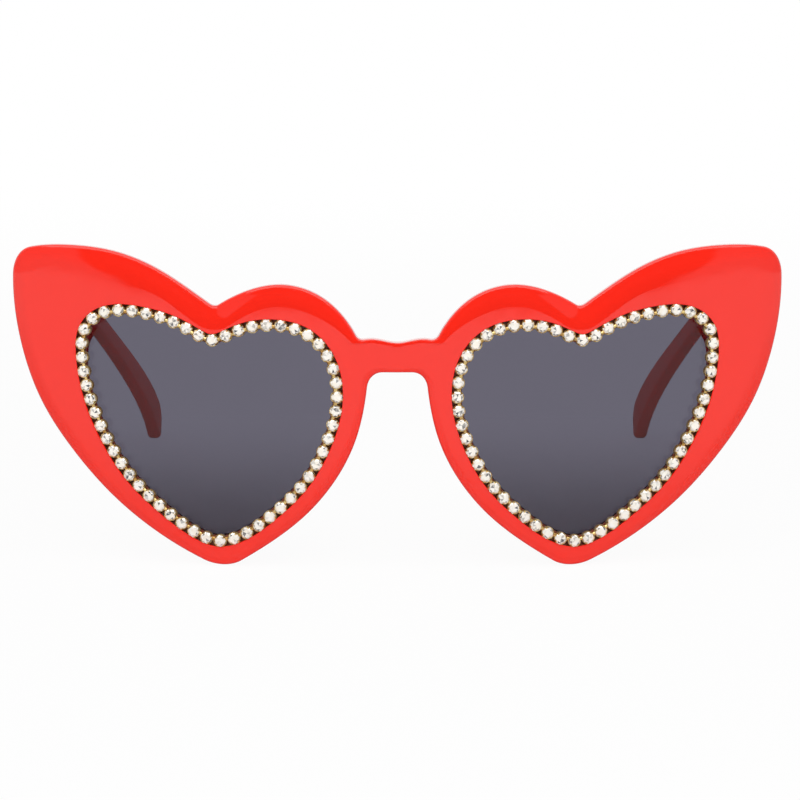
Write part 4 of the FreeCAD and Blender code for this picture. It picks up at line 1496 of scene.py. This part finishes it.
@dataclass
class Studio:
    """The white table, the lamps and the camera, in metres."""

    table_front: float = -2.0
    table_back: float = 3.2
    table_half: float = 2.2
    camera_place: tuple = (0.0, -0.7007, 0.145)
    camera_pitch: float = 10.08
    camera_lens: float = 150.1
    camera_shift: tuple = (0.0034, 0.0)
    camera_sensor: float = 36.0
    camera_nearest: float = 0.01
    room_level: float = 0.125
    backdrop_edge: float = 0.2
    wall_edge: tuple = (0.50, 0.56)
    wall_top: float = 0.6
    wall_levels: tuple = (0.58, 0.36)
    least_ahead: float = 1e-3
    boxes: tuple = (
        SoftBox("overhead_box", (0, -0.35, 1.0), (0, 0, 0), (1.3, 0.8), 1.97, mirrored=True),
        SoftBox("left_panel", (0.80, -0.43, 0.35), (0, -0.05, 0.35), (1.0, 0.7), 0.9),
        SoftBox("right_panel", (-0.80, -0.43, 0.35), (0, -0.05, 0.35), (1.0, 0.7), 0.9),
        SoftBox("front_fill", (0, -1.1, 0.75), (0, 0, 0.03), (1.0, 0.7), 2.88))

    def table(self) -> None:
        """Lay the table."""
        select_only()
        middle = (self.table_front + self.table_back) / 2
        bpy.ops.mesh.primitive_plane_add(size=1.0, location=(0, middle, 0))
        table = bpy.context.object
        table.name = "white_table"
        table.scale = (2 * self.table_half, self.table_back - self.table_front, 1.0)
        bpy.ops.object.transform_apply(location=True, scale=True)
        dressed(table, WhiteTable().material())

    def room(self) -> None:
        """Give the room a low even light, pale side walls, and white past the table for the camera.

        Glossy and clear surfaces show the pale walls on both sides in front of the table and the white
        backdrop behind it; the rest of the room stays dim, and its edges draw the bands on the polished
        rims.
        """
        world = bpy.data.worlds.new("studio_room")
        world.use_nodes = True
        tree = world.node_tree
        tree.nodes.clear()
        ray = add_node(tree, "ShaderNodeLightPath")
        way = add_node(tree, "ShaderNodeSeparateXYZ",
                       links={0: add_node(tree, "ShaderNodeTexCoord").outputs["Generated"]})
        through = add_node(tree, "ShaderNodeMath", {"operation": "MAXIMUM"},
                           {0: ray.outputs["Is Glossy Ray"], 1: ray.outputs["Is Transmission Ray"]})

        behind = add_node(tree, "ShaderNodeMapRange", {"From Min": 0.0, "From Max": self.backdrop_edge},
                          {"Value": way.outputs["Y"]})

        aside = add_node(tree, "ShaderNodeMath", {"operation": "ABSOLUTE"}, {0: way.outputs["X"]})
        forward = add_node(tree, "ShaderNodeMath", {"operation": "MULTIPLY", 1: -1.0}, {0: way.outputs["Y"]})
        ahead = add_node(tree, "ShaderNodeMath", {"operation": "MAXIMUM", 1: self.least_ahead},
                         {0: forward.outputs["Value"]})
        turned = add_node(tree, "ShaderNodeMath", {"operation": "DIVIDE"},
                          {0: aside.outputs["Value"], 1: ahead.outputs["Value"]})
        edge = add_node(tree, "ShaderNodeMapRange",
                        {"interpolation_type": "SMOOTHSTEP", "From Min": self.wall_edge[0],
                         "From Max": self.wall_edge[1]}, {"Value": turned.outputs["Value"]})
        facing = add_node(tree, "ShaderNodeMath", {"operation": "GREATER_THAN", 1: 0.0},
                          {0: forward.outputs["Value"]})
        height = add_node(tree, "ShaderNodeMapRange",
                          {"From Min": 0.0, "From Max": self.wall_top, "To Min": self.wall_levels[0],
                           "To Max": self.wall_levels[1]}, {"Value": way.outputs["Z"]})
        wall = add_node(tree, "ShaderNodeMath", {"operation": "MULTIPLY"},
                        {0: edge.outputs["Result"], 1: facing.outputs["Value"]})
        pale = add_node(tree, "ShaderNodeMath", {"operation": "MULTIPLY"},
                        {0: wall.outputs["Value"], 1: height.outputs["Result"]})

        mirrored = add_node(tree, "ShaderNodeMath", {"operation": "MAXIMUM"},
                            {0: behind.outputs["Result"], 1: pale.outputs["Value"]})
        shown = add_node(tree, "ShaderNodeMath", {"operation": "MULTIPLY"},
                         {0: through.outputs["Value"], 1: mirrored.outputs["Value"]})
        seen = add_node(tree, "ShaderNodeMath", {"operation": "MAXIMUM"},
                        {0: ray.outputs["Is Camera Ray"], 1: shown.outputs["Value"]})
        dim = add_node(tree, "ShaderNodeBackground", {"Color": WHITE, "Strength": self.room_level})
        white = add_node(tree, "ShaderNodeBackground", {"Color": WHITE, "Strength": 1.0})
        mixed = add_node(tree, "ShaderNodeMixShader",
                         links={0: seen.outputs["Value"], 1: dim.outputs["Background"],
                                2: white.outputs["Background"]})
        add_node(tree, "ShaderNodeOutputWorld", links={"Surface": mixed.outputs["Shader"]})
        bpy.context.scene.world = world

    def camera(self) -> None:
        """Set up the camera at the photograph's viewing angle."""
        bpy.ops.object.camera_add(location=self.camera_place,
                                  rotation=(math.radians(90 - self.camera_pitch), 0, 0))
        camera = bpy.context.object
        camera.data.lens = self.camera_lens
        camera.data.sensor_width = self.camera_sensor
        camera.data.shift_x, camera.data.shift_y = self.camera_shift
        camera.data.clip_start = self.camera_nearest
        bpy.context.scene.camera = camera

    def build(self) -> None:
        """Set up the table, the lamps, the room and the camera."""
        self.table()
        for box in self.boxes:
            box.hang()
        self.room()
        self.camera()
        bpy.context.scene.view_settings.view_transform = "Standard"


def dress_hinges(nodes: dict, steel: bpy.types.Material) -> None:
    """Give the hinge leaves and screws, which keep their CAD shapes, their metal."""
    for side in Side:
        for node in ("front_hinge_leaf", "temple_hinge_leaf", "hinge_screw"):
            piece = nodes[f"{node}_{side.suffix}"]
            for slot in piece.material_slots:
                slot.material = steel
            LOG.info("%s dressed", piece.name)


def main() -> None:
    """Build the glasses and the studio in order."""
    logging.basicConfig(level=logging.INFO, format="%(name)s: %(message)s")
    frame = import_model()
    lines = FrontLines()
    hinge = HingeRoom(lines)
    joint = next(joint for joint in frame["joints"] if joint["name"] == "temple_left_fold")
    stance = Stance.from_joint(joint, hinge.axis * MM)
    red = MouldedRedPlastic().material()
    # The front's second material is the painted shade in its stone channel.
    FrontMoulding(lines, hinge).build(stance, red, BrownedCement().material())
    Lens(lines).build(stance, SmokeGreyLens().material())
    # The crystals' colour holds painted reflections.
    StoneChain(lines).build(stance, GoldPlatedBrass().material(), FoiledCrystal().material())
    satin = MouldedRedPlastic("satin_red_polycarbonate", haze=(0.40, 0.50), ior=1.4).material()
    Temple(lines, hinge).build(stance, red, satin)
    dress_hinges(frame["nodes"], NickelledSteel().material())
    Studio().build()


if __name__ == "__main__":
    main()
